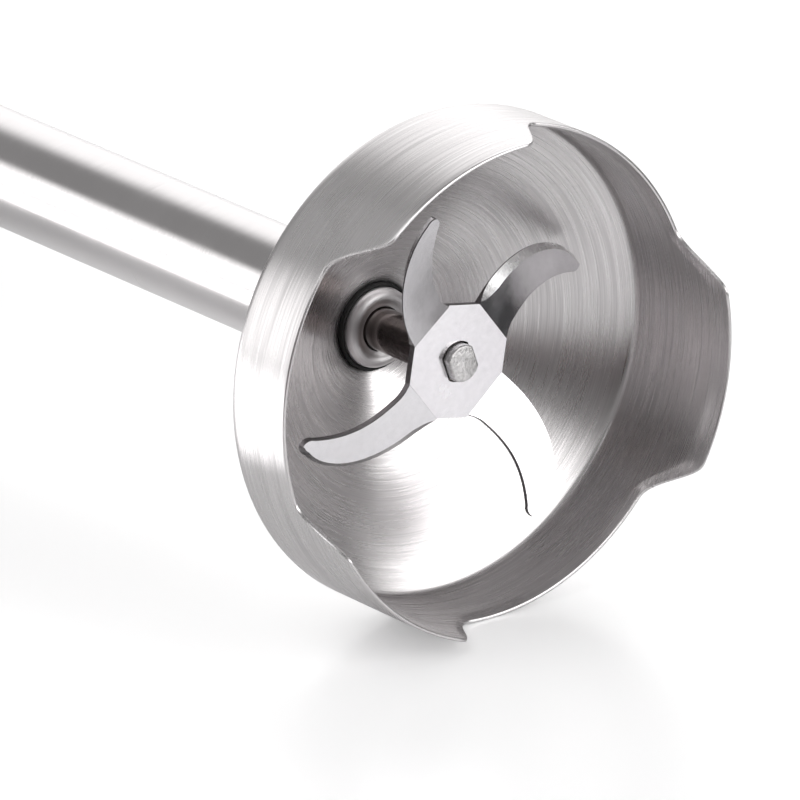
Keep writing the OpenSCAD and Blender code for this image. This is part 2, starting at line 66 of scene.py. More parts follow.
def high(node, axis):
    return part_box(node)[1][axis] / MM


AXIS_H = 40.0
BELL_R = 40.0
SHEET = 1.0
MOUTH_X = high("bell_guard", 0)
CORNER_X = MOUTH_X - 22.9
SKIRT_IN = BELL_R - SHEET
PLATE_R = SKIRT_IN - 0.95
HUB_R = 7.1
PLATE_SLOPE = 16 / (PLATE_R - HUB_R)
SHEET_X = SHEET * math.hypot(1, PLATE_SLOPE)
TUBE_R = 9.2
SHAFT_R = 3.4
SLEEVE_R = 6.5
SLEEVE_FRONT = high("nose_sleeve", 0)
SHAFT_FRONT = high("drive_shaft", 0)
BLADE_FRONT = SHAFT_FRONT - 1.5
BLADE_T = 1.2
SHELL_FRONT = high("front_shell", 0)
SHELL_BACK = low("front_shell", 0)
CAP_BACK = low("end_cap", 0)
NOSE_R = 24.0
WALL = 2.2
JOINT_X = 8.3


def plate_x(radius):
    """Front surface of the dished plate at a radius."""
    return CORNER_X - (PLATE_R - radius) * PLATE_SLOPE


# ---- helpers for modelling ----


def deselect():
    if bpy.context.object is not None and bpy.context.object.mode != "OBJECT":
        bpy.ops.object.mode_set(mode="OBJECT")
    bpy.ops.object.select_all(action="DESELECT")


def activate(piece):
    deselect()
    piece.select_set(True)
    bpy.context.view_layer.objects.active = piece


def named(name):
    piece = bpy.context.object
    piece.name = name
    piece.data.name = name
    return piece


def settle(piece):
    """Puts the piece's place into its mesh."""
    activate(piece)
    bpy.ops.object.transform_apply(location=True, rotation=True, scale=True)
    return piece


def shade(piece, angle=32):
    activate(piece)
    bpy.ops.object.shade_smooth_by_angle(angle=math.radians(angle))
    return piece


def turned(name, profile, steps=192, sweep=FULL_TURN, centre=(0.0, 0.0, AXIS_H), start=0.0):
    """Lathes a profile of (radius, distance along the axis) points round an axis along X."""
    deselect()
    bpy.ops.mesh.primitive_plane_add(size=MM)
    piece = named(name)
    bpy.ops.object.mode_set(mode="EDIT")
    bpy.ops.mesh.merge(type="CENTER")
    across = Vector((0, math.cos(start), math.sin(start)))
    points = [Vector(centre) + across * r + Vector((x, 0, 0)) for r, x in profile]
    bpy.ops.transform.translate(value=points[0] * MM)
    for here, there in zip(points, points[1:]):
        bpy.ops.mesh.extrude_vertices_move(TRANSFORM_OT_translate={"value": (there - here) * MM})
    bpy.ops.mesh.select_all(action="SELECT")
    bpy.ops.mesh.remove_doubles(threshold=1e-6)
    if sweep != FULL_TURN:
        bpy.ops.mesh.edge_face_add()
    bpy.ops.mesh.spin(steps=steps, angle=sweep, center=Vector(centre) * MM, axis=(1, 0, 0))
    bpy.ops.mesh.select_all(action="SELECT")
    bpy.ops.mesh.remove_doubles(threshold=1e-6)
    bpy.ops.mesh.normals_make_consistent(inside=False)
    bpy.ops.object.mode_set(mode="OBJECT")
    return piece


def skinned(name, rings):
    """Wraps a grid round rings of points, in millimetres, and closes both ends."""
    rows, sides = len(rings), len(rings[0])
    deselect()
    bpy.ops.mesh.primitive_grid_add(x_subdivisions=sides, y_subdivisions=rows - 1, size=1)
    piece = named(name)
    points = np.array([list(ring) + [ring[0]] for ring in rings], dtype=float).reshape(-1, 3) * MM
    spots = np.empty(len(piece.data.vertices) * 3)
    piece.data.vertices.foreach_get("co", spots)
    spots = spots.reshape(-1, 3)
    order = np.lexsort((np.round(spots[:, 0], 5), np.round(spots[:, 1], 5)))
    spots[order] = points
    piece.data.vertices.foreach_set("co", spots.ravel())
    piece.data.update()
    for ring in (rings[0], rings[-1]):
        activate(piece)
        bpy.ops.object.mode_set(mode="EDIT")
        bpy.ops.mesh.select_all(action="SELECT")
        bpy.ops.mesh.remove_doubles(threshold=1e-6)
        bpy.ops.mesh.select_all(action="DESELECT")
        bpy.ops.object.mode_set(mode="OBJECT")
        spots = np.empty(len(piece.data.vertices) * 3)
        piece.data.vertices.foreach_get("co", spots)
        gaps = np.abs(spots.reshape(-1, 1, 3) - np.array(ring)[None] * MM).max(axis=2).min(axis=1)
        piece.data.vertices.foreach_set("select", gaps < 1e-6)
        bpy.ops.object.mode_set(mode="EDIT")
        bpy.ops.mesh.edge_face_add()
        bpy.ops.object.mode_set(mode="OBJECT")
    bpy.ops.object.mode_set(mode="EDIT")
    bpy.ops.mesh.select_all(action="SELECT")
    bpy.ops.mesh.normals_make_consistent(inside=False)
    bpy.ops.object.mode_set(mode="OBJECT")
    return piece


def apply_modifier(piece, kind, **settings):
    activate(piece)
    modifier = piece.modifiers.new(kind.lower(), kind)
    for key, value in settings.items():
        setattr(modifier, key, value)
    bpy.ops.object.modifier_apply(modifier=modifier.name)


def combine(piece, tool, operation="DIFFERENCE"):
    apply_modifier(piece, "BOOLEAN", object=tool, operation=operation, solver="EXACT")
    bpy.data.objects.remove(tool, do_unlink=True)
    return piece


def joined(pieces):
    deselect()
    for piece in pieces:
        piece.select_set(True)
    bpy.context.view_layer.objects.active = pieces[0]
    bpy.ops.object.join()
    return bpy.context.object


def smooth_run(points, per_span=5):
    """A smooth curve through (radius, x) points."""
    result = []
    for i in range(len(points) - 1):
        p0, p1 = points[max(0, i - 1)], points[i]
        p2, p3 = points[i + 1], points[min(len(points) - 1, i + 2)]
        for k in range(per_span):
            t = k / per_span
            result.append(tuple(
                0.5 * (2 * b + (c - a) * t + (2 * a - 5 * b + 4 * c - d) * t * t
                       + (3 * b - a - 3 * c + d) * t ** 3)
                for a, b, c, d in zip(p0, p1, p2, p3)))
    return result + [points[-1]]


def block(name, lower, upper):
    """A box between two corners, in millimetres."""
    deselect()
    middle = (Vector(lower) + Vector(upper)) * MM / 2
    bpy.ops.mesh.primitive_cube_add(size=1, location=middle)
    piece = named(name)
    piece.scale = (Vector(upper) - Vector(lower)) * MM
    return settle(piece)


def rod(name, centre, radius, length, axis="Z", vertices=64):
    """A round bar whose middle is at centre, in millimetres."""
    deselect()
    turn = {"X": (0, math.pi / 2, 0), "Y": (math.pi / 2, 0, 0), "Z": (0, 0, 0)}[axis]
    bpy.ops.mesh.primitive_cylinder_add(vertices=vertices, radius=radius * MM, depth=length * MM,
                                        location=Vector(centre) * MM, rotation=turn)
    return settle(named(name))


def stadium(name, x, length, width, z0, z1):
    """A bar with round ends, standing upright over the handle's axis."""
    deselect()
    bpy.ops.mesh.primitive_cylinder_add(vertices=96, radius=width / 2 * MM, depth=(z1 - z0) * MM,
                                        location=(x * MM, 0, (z0 + z1) / 2 * MM))
    piece = settle(named(name))
    bpy.ops.object.mode_set(mode="EDIT")
    bpy.ops.mesh.bisect(plane_co=(x * MM, 0, 0), plane_no=(1, 0, 0))
    bpy.ops.object.mode_set(mode="OBJECT")
    stretch = (length - width) / 2 * MM
    for vertex in piece.data.vertices:
        offset = vertex.co.x - x * MM
        if abs(offset) > 1e-7:
            vertex.co.x += math.copysign(stretch, offset)
    return piece


def double_d(x, radius, flat):
    """Ring of the shaft's neck, or of the blade's hole: a circle with two flats."""
    turn = math.radians(110)
    across = Vector((-math.sin(turn), math.cos(turn)))
    ring = []
    for i in range(96):
        point = Vector((math.cos(FULL_TURN * i / 96), math.sin(FULL_TURN * i / 96))) * radius
        off = point.dot(across)
        point += across * (min(flat, max(-flat, off)) - off)
        ring.append((x, point.x, AXIS_H + point.y))
    return ring


def assign(piece, *materials):
    piece.data.materials.clear()
    for material in materials:
        piece.data.materials.append(material)


def finish_piece(piece, body, slot, *nodes):
    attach(piece, body)
    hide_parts(*nodes)


def finish_in(piece, angle, material, body, slot, node):
    """Finishes a piece that has one material and creases above one angle."""
    shade(piece, angle)
    assign(piece, material)
    finish_piece(piece, body, slot, node)


# ---- materials ----


class Nodes:
    """Adds nodes to a tree, each with its inputs set or linked."""

    def __init__(self, tree):
        self.tree = tree

    def node(self, kind, inputs=None, **settings):
        node = self.tree.nodes.new(kind)
        for key, value in settings.items():
            setattr(node, key, value)
        for key, value in (inputs or {}).items():
            self.feed(node.inputs[key], value)
        return node

    def feed(self, socket, value):
        if isinstance(value, bpy.types.NodeSocket):
            self.tree.links.new(value, socket)
        else:
            socket.default_value = value

    def maths(self, operation, *values):
        return self.node("ShaderNodeMath", dict(enumerate(values)), operation=operation).outputs[0]

    def span(self, value, lower, upper, to_lower, to_upper, smooth=False):
        return self.node("ShaderNodeMapRange", {
            "Value": value, "From Min": lower, "From Max": upper, "To Min": to_lower, "To Max": to_upper},
            interpolation_type="SMOOTHSTEP" if smooth else "LINEAR").outputs["Result"]


class Recipe(Nodes):
    """A node material, written from its colour to its surface."""

    def __init__(self, name):
        self.material = bpy.data.materials.new(name)
        self.material.use_nodes = True
        super().__init__(self.material.node_tree)
        self.shader = self.tree.nodes["Principled BSDF"]

    def put(self, **sockets):
        """Sets or links the shader's own sockets; underscores stand for spaces."""
        for key, value in sockets.items():
            self.feed(self.shader.inputs[key.replace("_", " ")], value)

    def place(self, centre=(0, 0, AXIS_H * MM)):
        """Object coordinates, measured from a centre."""
        spot = self.node("ShaderNodeTexCoord").outputs["Object"]
        return self.node("ShaderNodeVectorMath", {0: spot, 1: centre}, operation="SUBTRACT").outputs[0]

    def noise(self, vector, scale, detail=3.0, rough=0.55):
        return self.node("ShaderNodeTexNoise", {
            "Vector": vector, "Scale": scale, "Detail": detail, "Roughness": rough}).outputs["Fac"]

    def mixed(self, one, two, share):
        """Two values added in shares that come to one."""
        return self.maths("ADD", self.maths("MULTIPLY", one, share), self.maths("MULTIPLY", two, 1 - share))

    def blend(self, factor, one, two):
        one, two = ((*tone, 1) if isinstance(tone, tuple) else tone for tone in (one, two))
        return self.node("ShaderNodeMix", {"Factor": factor, 6: one, 7: two}, data_type="RGBA").outputs[2]

    def bump(self, height, distance, strength=1.0):
        return self.node("ShaderNodeBump", {
            "Height": height, "Distance": distance, "Strength": strength}).outputs["Normal"]


def shade_of(colour, factor):
    return tuple(min(1.0, c * factor) for c in colour)


def ring_brushed(name, colour, roughness, anisotropy, contrast, lines=3600.0, arc=2.2):
    """Steel that was brushed or turned round the shaft's axis: fine lines that run round it."""
    r = Recipe(name)
    place = r.place()
    parts = r.node("ShaderNodeSeparateXYZ", {0: place})
    across = r.node("ShaderNodeCombineXYZ", {"Y": parts.outputs["Y"], "Z": parts.outputs["Z"]}).outputs[0]
    radius = r.node("ShaderNodeVectorMath", {0: across}, operation="LENGTH").outputs["Value"]
    unit = r.node("ShaderNodeSeparateXYZ", {
        0: r.node("ShaderNodeVectorMath", {0: across}, operation="NORMALIZE").outputs[0]})
    up, side = unit.outputs["Z"], unit.outputs["Y"]

    def streaks(per_metre, turns, shift=0.0, detail=2.0):
        vector = r.node("ShaderNodeCombineXYZ", {
            "X": r.maths("MULTIPLY", parts.outputs["X"], per_metre),
            "Y": r.maths("MULTIPLY_ADD", radius, per_metre, shift),
            "Z": r.maths("MULTIPLY", side, turns)}).outputs[0]
        node = r.node("ShaderNodeTexNoise", {"Vector": vector, "Scale": 1.0, "Detail": detail,
                                             "Roughness": 0.6}, noise_dimensions="4D")
        r.tree.links.new(r.maths("MULTIPLY", up, turns), node.inputs["W"])
        return node.outputs["Fac"]

    fine = streaks(lines, arc, 3.0)
    wide = streaks(lines * 0.3, arc * 0.6, 11.0)
    scratch = r.span(streaks(lines * 0.45, arc * 1.7, 27.0, 0.0), 0.68, 0.8, 0.0,
                     min(0.35, contrast * 3.5), True)
    body = r.mixed(fine, wide, 0.68)
    level = r.span(body, 0.32, 0.68, 0.0, 1.0)
    tone = r.blend(level, shade_of(colour, 1 - contrast), shade_of(colour, 1 + contrast))
    tone = r.blend(scratch, tone, (0.93, 0.93, 0.93))
    smudge = r.noise(place, 55.0, 2.0)
    rough = r.maths("ADD", r.span(level, 0.0, 1.0, roughness + 0.05, roughness - 0.05),
                    r.span(smudge, 0.35, 0.7, -0.02, 0.04))
    tangent = r.node("ShaderNodeCombineXYZ", {
        "Y": r.maths("MULTIPLY", up, -1.0), "Z": side}).outputs[0]
    r.put(Base_Color=tone, Metallic=1.0, Roughness=rough, Anisotropic=anisotropy, Anisotropic_Rotation=0.25,
          Tangent=tangent, Normal=r.bump(body, 0.00004, 0.35))
    return r.material


def straight_brushed(name, colour, roughness, anisotropy, contrast, direction, lines=3000.0):
    """Steel ground in one direction, given as a tilt in the Y-Z plane from +Y towards +Z."""
    r = Recipe(name)
    place = r.place()
    turn = r.node("ShaderNodeMapping", {"Vector": place, "Rotation": (-math.radians(direction), 0, 0)})
    stretch = r.node("ShaderNodeMapping", {
        "Vector": turn.outputs[0], "Scale": (lines, lines * 0.035, lines)})
    fine = r.noise(stretch.outputs[0], 1.0, 3.0, 0.6)
    smudge = r.noise(place, 150.0, 4.0, 0.6)
    level = r.span(r.mixed(fine, smudge, 0.7), 0.33, 0.67, 0, 1)
    tone = r.blend(level, shade_of(colour, 1 - contrast), shade_of(colour, 1 + contrast))
    rough = r.span(smudge, 0.3, 0.7, roughness - 0.05, roughness + 0.06)
    r.put(Base_Color=tone, Metallic=1.0, Roughness=rough, Anisotropic=anisotropy,
          Normal=r.bump(fine, 0.00003, 0.35))
    return r.material


def grainy_metal(name, colour, roughness, grain, depth, contrast=0.12, metallic=1.0):
    """Cast, stamped or blasted metal with a grain that has no direction."""
    r = Recipe(name)
    place = r.place()
    fine = r.noise(place, grain, 4.0, 0.6)
    wide = r.noise(place, grain * 0.12, 3.0, 0.5)
    level = r.span(r.mixed(fine, wide, 0.6), 0.35, 0.65, 0, 1)
    r.put(Base_Color=r.blend(level, shade_of(colour, 1 - contrast), shade_of(colour, 1 + contrast)),
          Metallic=metallic, Roughness=r.span(wide, 0.3, 0.7, roughness - 0.06, roughness + 0.08),
          Normal=r.bump(fine, depth, 0.5))
    return r.material


def moulded_plastic(name, colour, roughness, grain, depth, coat=0.0, wear=0.0):
    """Injection-moulded plastic: spark-eroded grain, faint flow marks, and paler rubbed edges."""
    r = Recipe(name)
    place = r.place()
    grain_fac = r.noise(place, grain, 3.0, 0.5)
    cells = r.node("ShaderNodeTexVoronoi", {"Vector": place, "Scale": grain * 0.55}).outputs["Distance"]
    drawn_out = r.node("ShaderNodeMapping", {"Vector": place, "Scale": (12.0, 60.0, 60.0)}).outputs[0]
    flow = r.noise(drawn_out, 1.0)
    tone = r.blend(r.span(flow, 0.3, 0.7, 0.0, 1.0), shade_of(colour, 0.86), shade_of(colour, 1.14))
    tone = r.blend(r.span(grain_fac, 0.55, 0.75, 0.0, 0.25), tone, shade_of(colour, 1.5))
    if wear:
        edge = r.node("ShaderNodeNewGeometry").outputs["Pointiness"]
        rubbed = r.maths("MULTIPLY", r.span(edge, 0.52, 0.6, 0.0, 1.0), wear)
        tone = r.blend(rubbed, tone, shade_of(colour, 2.6))
    height = r.mixed(grain_fac, cells, 0.6)
    r.put(Base_Color=tone, Roughness=r.span(flow, 0.3, 0.7, roughness - 0.05, roughness + 0.07),
          Coat_Weight=coat, Normal=r.bump(height, depth, 0.6))
    return r.material


def black_plastic(name, roughness=0.36, grain=2200.0, depth=0.00004):
    return moulded_plastic(name, tuple(plastic().shell_colour), roughness, grain, depth, 0.1, 0.3)


def grey_plastic(name, roughness, grain, depth, coat):
    return moulded_plastic(name, tuple(plastic().button_colour), roughness, grain, depth, coat, 0.15)


def soft_rubber(name, colour, roughness, grain, depth, sheen=0.25):
    """Soft-touch rubber: fine pores, dull sheen and faint handling marks."""
    r = Recipe(name)
    place = r.place()
    pores = r.node("ShaderNodeTexVoronoi", {"Vector": place, "Scale": grain}).outputs["Distance"]
    dust = r.noise(place, grain * 0.05, 4.0, 0.6)
    tone = r.blend(r.span(dust, 0.4, 0.75, 0.0, 1.0), shade_of(colour, 0.85), shade_of(colour, 1.35))
    r.put(Base_Color=tone, Roughness=r.span(dust, 0.3, 0.7, roughness - 0.06, roughness + 0.08),
          Sheen_Weight=sheen, Sheen_Roughness=0.5, Normal=r.bump(pores, depth, 0.6))
    return r.material


def wound_copper(name, colour):
    """Lacquered copper wire lying in close turns."""
    r = Recipe(name)
    place = r.place()
    turns = r.node("ShaderNodeTexWave", {"Vector": place, "Scale": 480.0, "Distortion": 0.6}).outputs["Fac"]
    mottle = r.noise(place, 300.0, 3.0)
    tone = r.blend(r.maths("MULTIPLY", turns, mottle), shade_of(colour, 0.55), shade_of(colour, 1.25))
    r.put(Base_Color=tone, Metallic=0.9, Roughness=r.span(mottle, 0.3, 0.7, 0.26, 0.4), Coat_Weight=0.5,
          Normal=r.bump(turns, 0.00012, 0.8))
    return r.material


def printed_board(name, colour):
    """Green lacquered board with copper traces showing through."""
    r = Recipe(name)
    place = r.place()
    traces = r.node("ShaderNodeTexBrick", {
        "Vector": place, "Scale": 260.0, "Mortar Size": 0.03,
        "Color1": (0, 0, 0, 1), "Color2": (0, 0, 0, 1), "Mortar": (1, 1, 1, 1)}).outputs["Fac"]
    weave = r.noise(place, 1800.0, 2.0)
    tone = r.blend(r.maths("MULTIPLY", traces, 0.7), shade_of(colour, 0.8), shade_of(colour, 1.9))
    r.put(Base_Color=tone, Roughness=r.span(weave, 0.3, 0.7, 0.28, 0.42), Coat_Weight=0.4,
          Normal=r.bump(weave, 0.00003, 0.5))
    return r.material


def studio_floor(name, colour):
    """Smooth pale floor that looks a little brighter to the camera than it is lit."""
    r = Recipe(name)
    place = r.place((0, 0, 0))
    cloud = r.noise(place, 3.0, 2.0)
    r.put(Base_Color=r.blend(cloud, shade_of(colour, 0.995), shade_of(colour, 1.0)),
          Roughness=r.span(cloud, 0.3, 0.7, 0.24, 0.26), Specular_IOR_Level=0.5,
          Emission_Color=(1, 1, 1, 1), Emission_Strength=r.maths(
              "MULTIPLY", r.node("ShaderNodeLightPath").outputs["Is Camera Ray"], 0.3))
    return r.material


# ---- sizes and finishes that a user would change ----


class BladeSizes(bpy.types.PropertyGroup):
    bevel_width: FloatProperty(name="Ground edge", description="Width of the ground edge on each arm",
                               default=1.7 * MM, min=0.2 * MM, unit="LENGTH")
    edge_thickness: FloatProperty(name="Edge thickness", description="Thickness left at the ground edge",
                                  default=0.22 * MM, min=0.05 * MM, unit="LENGTH")


class SteelFinish(bpy.types.PropertyGroup):
    bell_colour: FloatVectorProperty(name="Bell steel", description="Colour of the brushed steel",
                                     subtype="COLOR", size=3, default=(0.70, 0.68, 0.685))
    bell_roughness: FloatProperty(name="Bell roughness", description="How dull the brushed steel is",
                                  default=0.27, min=0.05, max=1.0, subtype="FACTOR")
    brushing: FloatProperty(name="Brushing", description="How strongly the brushing stretches reflections",
                            default=0.8, min=0.0, max=1.0, subtype="FACTOR")
    blade_colour: FloatVectorProperty(name="Blade steel", description="Colour of the stamped blade",
                                      subtype="COLOR", size=3, default=(0.84, 0.825, 0.85))


class HandleFinish(bpy.types.PropertyGroup):
    shell_colour: FloatVectorProperty(name="Shell", description="Colour of the handle's shells",
                                      subtype="COLOR", size=3, default=(0.022, 0.023, 0.025))
    grip_colour: FloatVectorProperty(name="Grip", description="Colour of the soft grip",
                                     subtype="COLOR", size=3, default=(0.075, 0.076, 0.08))
    button_colour: FloatVectorProperty(name="Buttons", description="Colour of the buttons and the dial",
                                       subtype="COLOR", size=3, default=(0.34, 0.345, 0.355))
    rib_pitch: FloatProperty(name="Rib spacing", description="Distance between the grip's ribs",
                             default=4.2 * MM, min=1 * MM, unit="LENGTH")
    rib_depth: FloatProperty(name="Rib depth", description="Depth of the grooves between the ribs",
                             default=0.5 * MM, min=0.0, unit="LENGTH")


class StudioSettings(bpy.types.PropertyGroup):
    floor_colour: FloatVectorProperty(name="Floor", description="Colour of the floor",
                                      subtype="COLOR", size=3, default=(0.93, 0.93, 0.935))
    sky_strength: FloatProperty(name="Fill", description="Strength of the even light all round",
                                default=0.28, min=0.0)


def sizes():
    return bpy.context.scene.blender_blade


def steel():
    return bpy.context.scene.blender_steel


def plastic():
    return bpy.context.scene.blender_handle


def studio():
    return bpy.context.scene.blender_studio


# ---- the studio ----

CAMERA_AZIMUTH = 52.032
CAMERA_ELEVATION = 19.498
CAMERA_DISTANCE = 1.4826
CAMERA_LENS = 432.39
CAMERA_SHIFT = (-0.0474, -0.0591)


def aim(azimuth, elevation):
    """Unit vector towards a direction: azimuth from -Y towards +X, elevation above the floor."""
    a, e = math.radians(azimuth), math.radians(elevation)
    return Vector((math.sin(a) * math.cos(e), -math.cos(a) * math.cos(e), math.sin(e)))


def add_camera():
    data = bpy.data.cameras.new("studio_camera")
    camera = bpy.data.objects.new("studio_camera", data)
    bpy.context.scene.collection.objects.link(camera)
    back = aim(CAMERA_AZIMUTH, CAMERA_ELEVATION)
    right = Vector((math.cos(math.radians(CAMERA_AZIMUTH)), math.sin(math.radians(CAMERA_AZIMUTH)), 0))
    up = back.cross(right)
    turn = Matrix((right, up, back)).transposed().to_4x4()
    target = Vector((CORNER_X * MM, 0, AXIS_H * MM))
    camera.matrix_world = Matrix.Translation(target + back * CAMERA_DISTANCE) @ turn
    data.lens = CAMERA_LENS
    data.sensor_width = 36
    data.shift_x, data.shift_y = CAMERA_SHIFT
    data.clip_start, data.clip_end = 0.05, 20
    data.dof.use_dof = False
    bpy.context.scene.camera = camera


def softbox(name, place, target, width, height, power):
    data = bpy.data.lights.new(name, "AREA")
    data.shape = "RECTANGLE"
    data.size, data.size_y = width, height
    data.energy = power
    lamp = bpy.data.objects.new(name, data)
    bpy.context.scene.collection.objects.link(lamp)
    lamp.location = place
    lamp.rotation_mode = "QUATERNION"
    lamp.rotation_quaternion = (Vector(target) - Vector(place)).to_track_quat("-Z", "Y")


# Soft patches of light in the studio's surround: direction, inner and outer half angle, brightness.
PATCHES = [
    ((-0.743, 0.56, 0.38), 12, 36, 1.1),
    ((-0.743, -0.66, 0.10), 10, 24, 1.6),
    ((0.88, 0.36, 0.27), 14, 36, 2.9),
]


FLOOR_RADIUS = 4.0
UPRIGHT = math.radians(90)
SLANT = math.radians(-15.7)
# Soft lamps: name, place, target, width, height, power.
LAMPS = [
    ("key_softbox", (0.1, -0.9, 1.2), (0.12, 0, 0), 1.1, 1.1, 6),
    ("back_softbox", (-0.3, 1.1, 1.3), (0.1, 0, 0), 1.2, 1.0, 5),
]
# Cards that only reflections see: name, centre, size, turn, colour, brightness of their own.
CARDS = [
    ("white_card", (-0.10, -0.185, 0.003), (0.5, 0.24), (0, 0, 0), (1, 1, 1), 1.4),
    ("hub_card", (0.262, 0.05, 0.003), (0.04, 0.07), (0, 0, 0), (0.86, 0.85, 0.86), 0.32),
    ("russet_card", (0.475, -0.074, 0.004), (0.31, 0.3), (0, 0, SLANT), (0.06, 0.03, 0.03), 0.0),
    ("dark_board", (0.622, -0.117, 0.034), (0.8, 0.08), (UPRIGHT, 0, SLANT - UPRIGHT),
     (0.03, 0.02, 0.021), 0.0),
    ("black_card", (0.305, 0.165, 0.022), (0.1, 0.045), (UPRIGHT, 0, math.radians(-36)),
     (0.04, 0.04, 0.042), 0.0),
]


def add_surround(strength):
    world = bpy.data.worlds.new("studio_surround")
    bpy.context.scene.world = world
    world.use_nodes = True
    n = Nodes(world.node_tree)
    direction = n.node("ShaderNodeTexCoord").outputs["Generated"]
    total = None
    for towards, inner, outer, brightness in PATCHES:
        dot = n.node("ShaderNodeVectorMath", {0: direction, 1: Vector(towards).normalized()},
                     operation="DOT_PRODUCT").outputs["Value"]
        patch = n.span(dot, math.cos(math.radians(outer)), math.cos(math.radians(inner)),
                       0.0, brightness, True)
        total = patch if total is None else n.maths("ADD", total, patch)
    background = n.tree.nodes["Background"].inputs
    n.feed(background["Strength"], n.maths("ADD", total, strength))
    background["Color"].default_value = (1, 0.995, 0.99, 1)


def add_flag(name, centre, size, turn, colour, strength):
    """A card that only reflections see, and only from its front, to shade or tint the steel."""
    deselect()
    bpy.ops.mesh.primitive_plane_add(size=1, location=centre, rotation=turn)
    card = named(name)
    card.scale = (size[0], size[1], 1)
    settle(card)
    bpy.ops.object.mode_set(mode="EDIT")
    bpy.ops.mesh.subdivide(number_cuts=2)
    bpy.ops.object.mode_set(mode="OBJECT")
    r = Recipe(name)
    r.put(Base_Color=(*colour, 1), Roughness=0.9, Specular_IOR_Level=0.0,
          Emission_Color=(*colour, 1), Emission_Strength=strength)
    behind = r.node("ShaderNodeNewGeometry").outputs["Backfacing"]
    clear = r.node("ShaderNodeBsdfTransparent").outputs[0]
    both = r.node("ShaderNodeMixShader", {0: behind, 1: r.shader.outputs[0], 2: clear}).outputs[0]
    r.tree.links.new(both, r.tree.nodes["Material Output"].inputs["Surface"])
    assign(card, r.material)
    for ray in ("camera", "diffuse", "shadow", "transmission"):
        setattr(card, "visible_" + ray, False)


class HANDBLENDER_OT_stage(bpy.types.Operator):
    """Add the pale floor, the soft lights and the camera"""
    bl_idname = "hand_blender.stage"
    bl_label = "Studio"

    def execute(self, context):
        add_camera()
        add_surround(studio().sky_strength)
        deselect()
        bpy.ops.mesh.primitive_circle_add(vertices=96, radius=FLOOR_RADIUS, fill_type="NGON",
                                          location=(0, 0, 0))
        floor = named("floor")
        bpy.ops.object.mode_set(mode="EDIT")
        bpy.ops.mesh.inset(thickness=0.5, depth=0)
        bpy.ops.object.mode_set(mode="OBJECT")
        assign(floor, studio_floor("floor_white", tuple(studio().floor_colour)))
        for lamp in LAMPS:
            softbox(*lamp)
        for card in CARDS:
            add_flag(*card)
        context.scene.view_settings.view_transform = "Standard"
        return {"FINISHED"}


# ---- the foot ----


def arc_points(r, x, radius, start, end, count=10):
    """Round corner of a (radius, x) profile; 0 points away from the axis and 90 to the mouth."""
    turns = [math.radians(start + (end - start) * i / count) for i in range(count + 1)]
    return [(r + radius * math.cos(a), x + radius * math.sin(a)) for a in turns]


def steps_between(start, end, count):
    """Points on a straight run, without its ends."""
    return [(start[0] + (end[0] - start[0]) * i / count, start[1] + (end[1] - start[1]) * i / count)
            for i in range(1, count)]


TAB_TURN = -9.2
TAB_HALF = 25.9
TAB_SIDE = 14.0
TAB_DEPTH = 22.9
RECESS_DEPTH = 13.3


def rim_height(angle):
    """Depth of the skirt at an angle from +Y towards +Z, in degrees."""
    off = (angle - TAB_TURN - 60 + 60) % 120 - 60
    edge = 60 - TAB_HALF
    k = min(1.0, max(0.0, (abs(off) - edge) / TAB_SIDE + 0.5))
    curve = RECESS_DEPTH + (TAB_DEPTH + 0.6 - RECESS_DEPTH) * (1 - math.cos(math.pi * k)) / 2
    ease = max(0.0, 0.8 - abs(TAB_DEPTH - curve)) / 0.8
    return min(TAB_DEPTH, curve) - ease * ease * 0.2 * min(1.0, (TAB_DEPTH + 0.6 - curve) / 0.6)


def bell_profile():
    """The bell's wall, from its hub out over the dish and the skirt and back outside."""
    dish = math.degrees(math.atan(PLATE_SLOPE))
    inner_round, outer_round, lip, thinned = 1.4, 3.0, 0.26, 0.4
    inner_r = SKIRT_IN - inner_round
    inner_x = plate_x(inner_r) + inner_round / math.cos(math.radians(dish))
    outer_r = BELL_R - outer_round
    outer_x = plate_x(outer_r) + outer_round / math.cos(math.radians(dish)) - SHEET_X
    neck_r = HUB_R + 0.9
    neck_back = plate_x(HUB_R) - 5
    inner = arc_points(inner_r, inner_x, inner_round, dish - 90, 0)
    outer = arc_points(outer_r, outer_x, outer_round, 0, dish - 90)
    edge_in = arc_points(SKIRT_IN + thinned + lip, MOUTH_X - lip, lip, 180, 90, 4)
    taper = (SKIRT_IN, MOUTH_X - 3.5)
    edge_out = arc_points(BELL_R - lip, MOUTH_X - lip, lip, 90, 0, 4)
    hub = [(HUB_R, plate_x(HUB_R) - 0.2), (HUB_R + 0.08, plate_x(HUB_R)),
           (HUB_R + 0.25, plate_x(HUB_R + 0.25))]
    back = (neck_r + 0.4, plate_x(neck_r + 0.4) - SHEET_X)
    return (hub + steps_between(hub[-1], inner[0], 24) + inner
            + steps_between(inner[-1], taper, 20) + [taper] + steps_between(taper, edge_in[0], 5)
            + edge_in + edge_out
            + steps_between(edge_out[-1], outer[0], 22) + outer
            + steps_between(outer[-1], back, 12)
            + [back, (neck_r, back[1] - 0.4), (neck_r, neck_back), (HUB_R, neck_back), hub[0]])


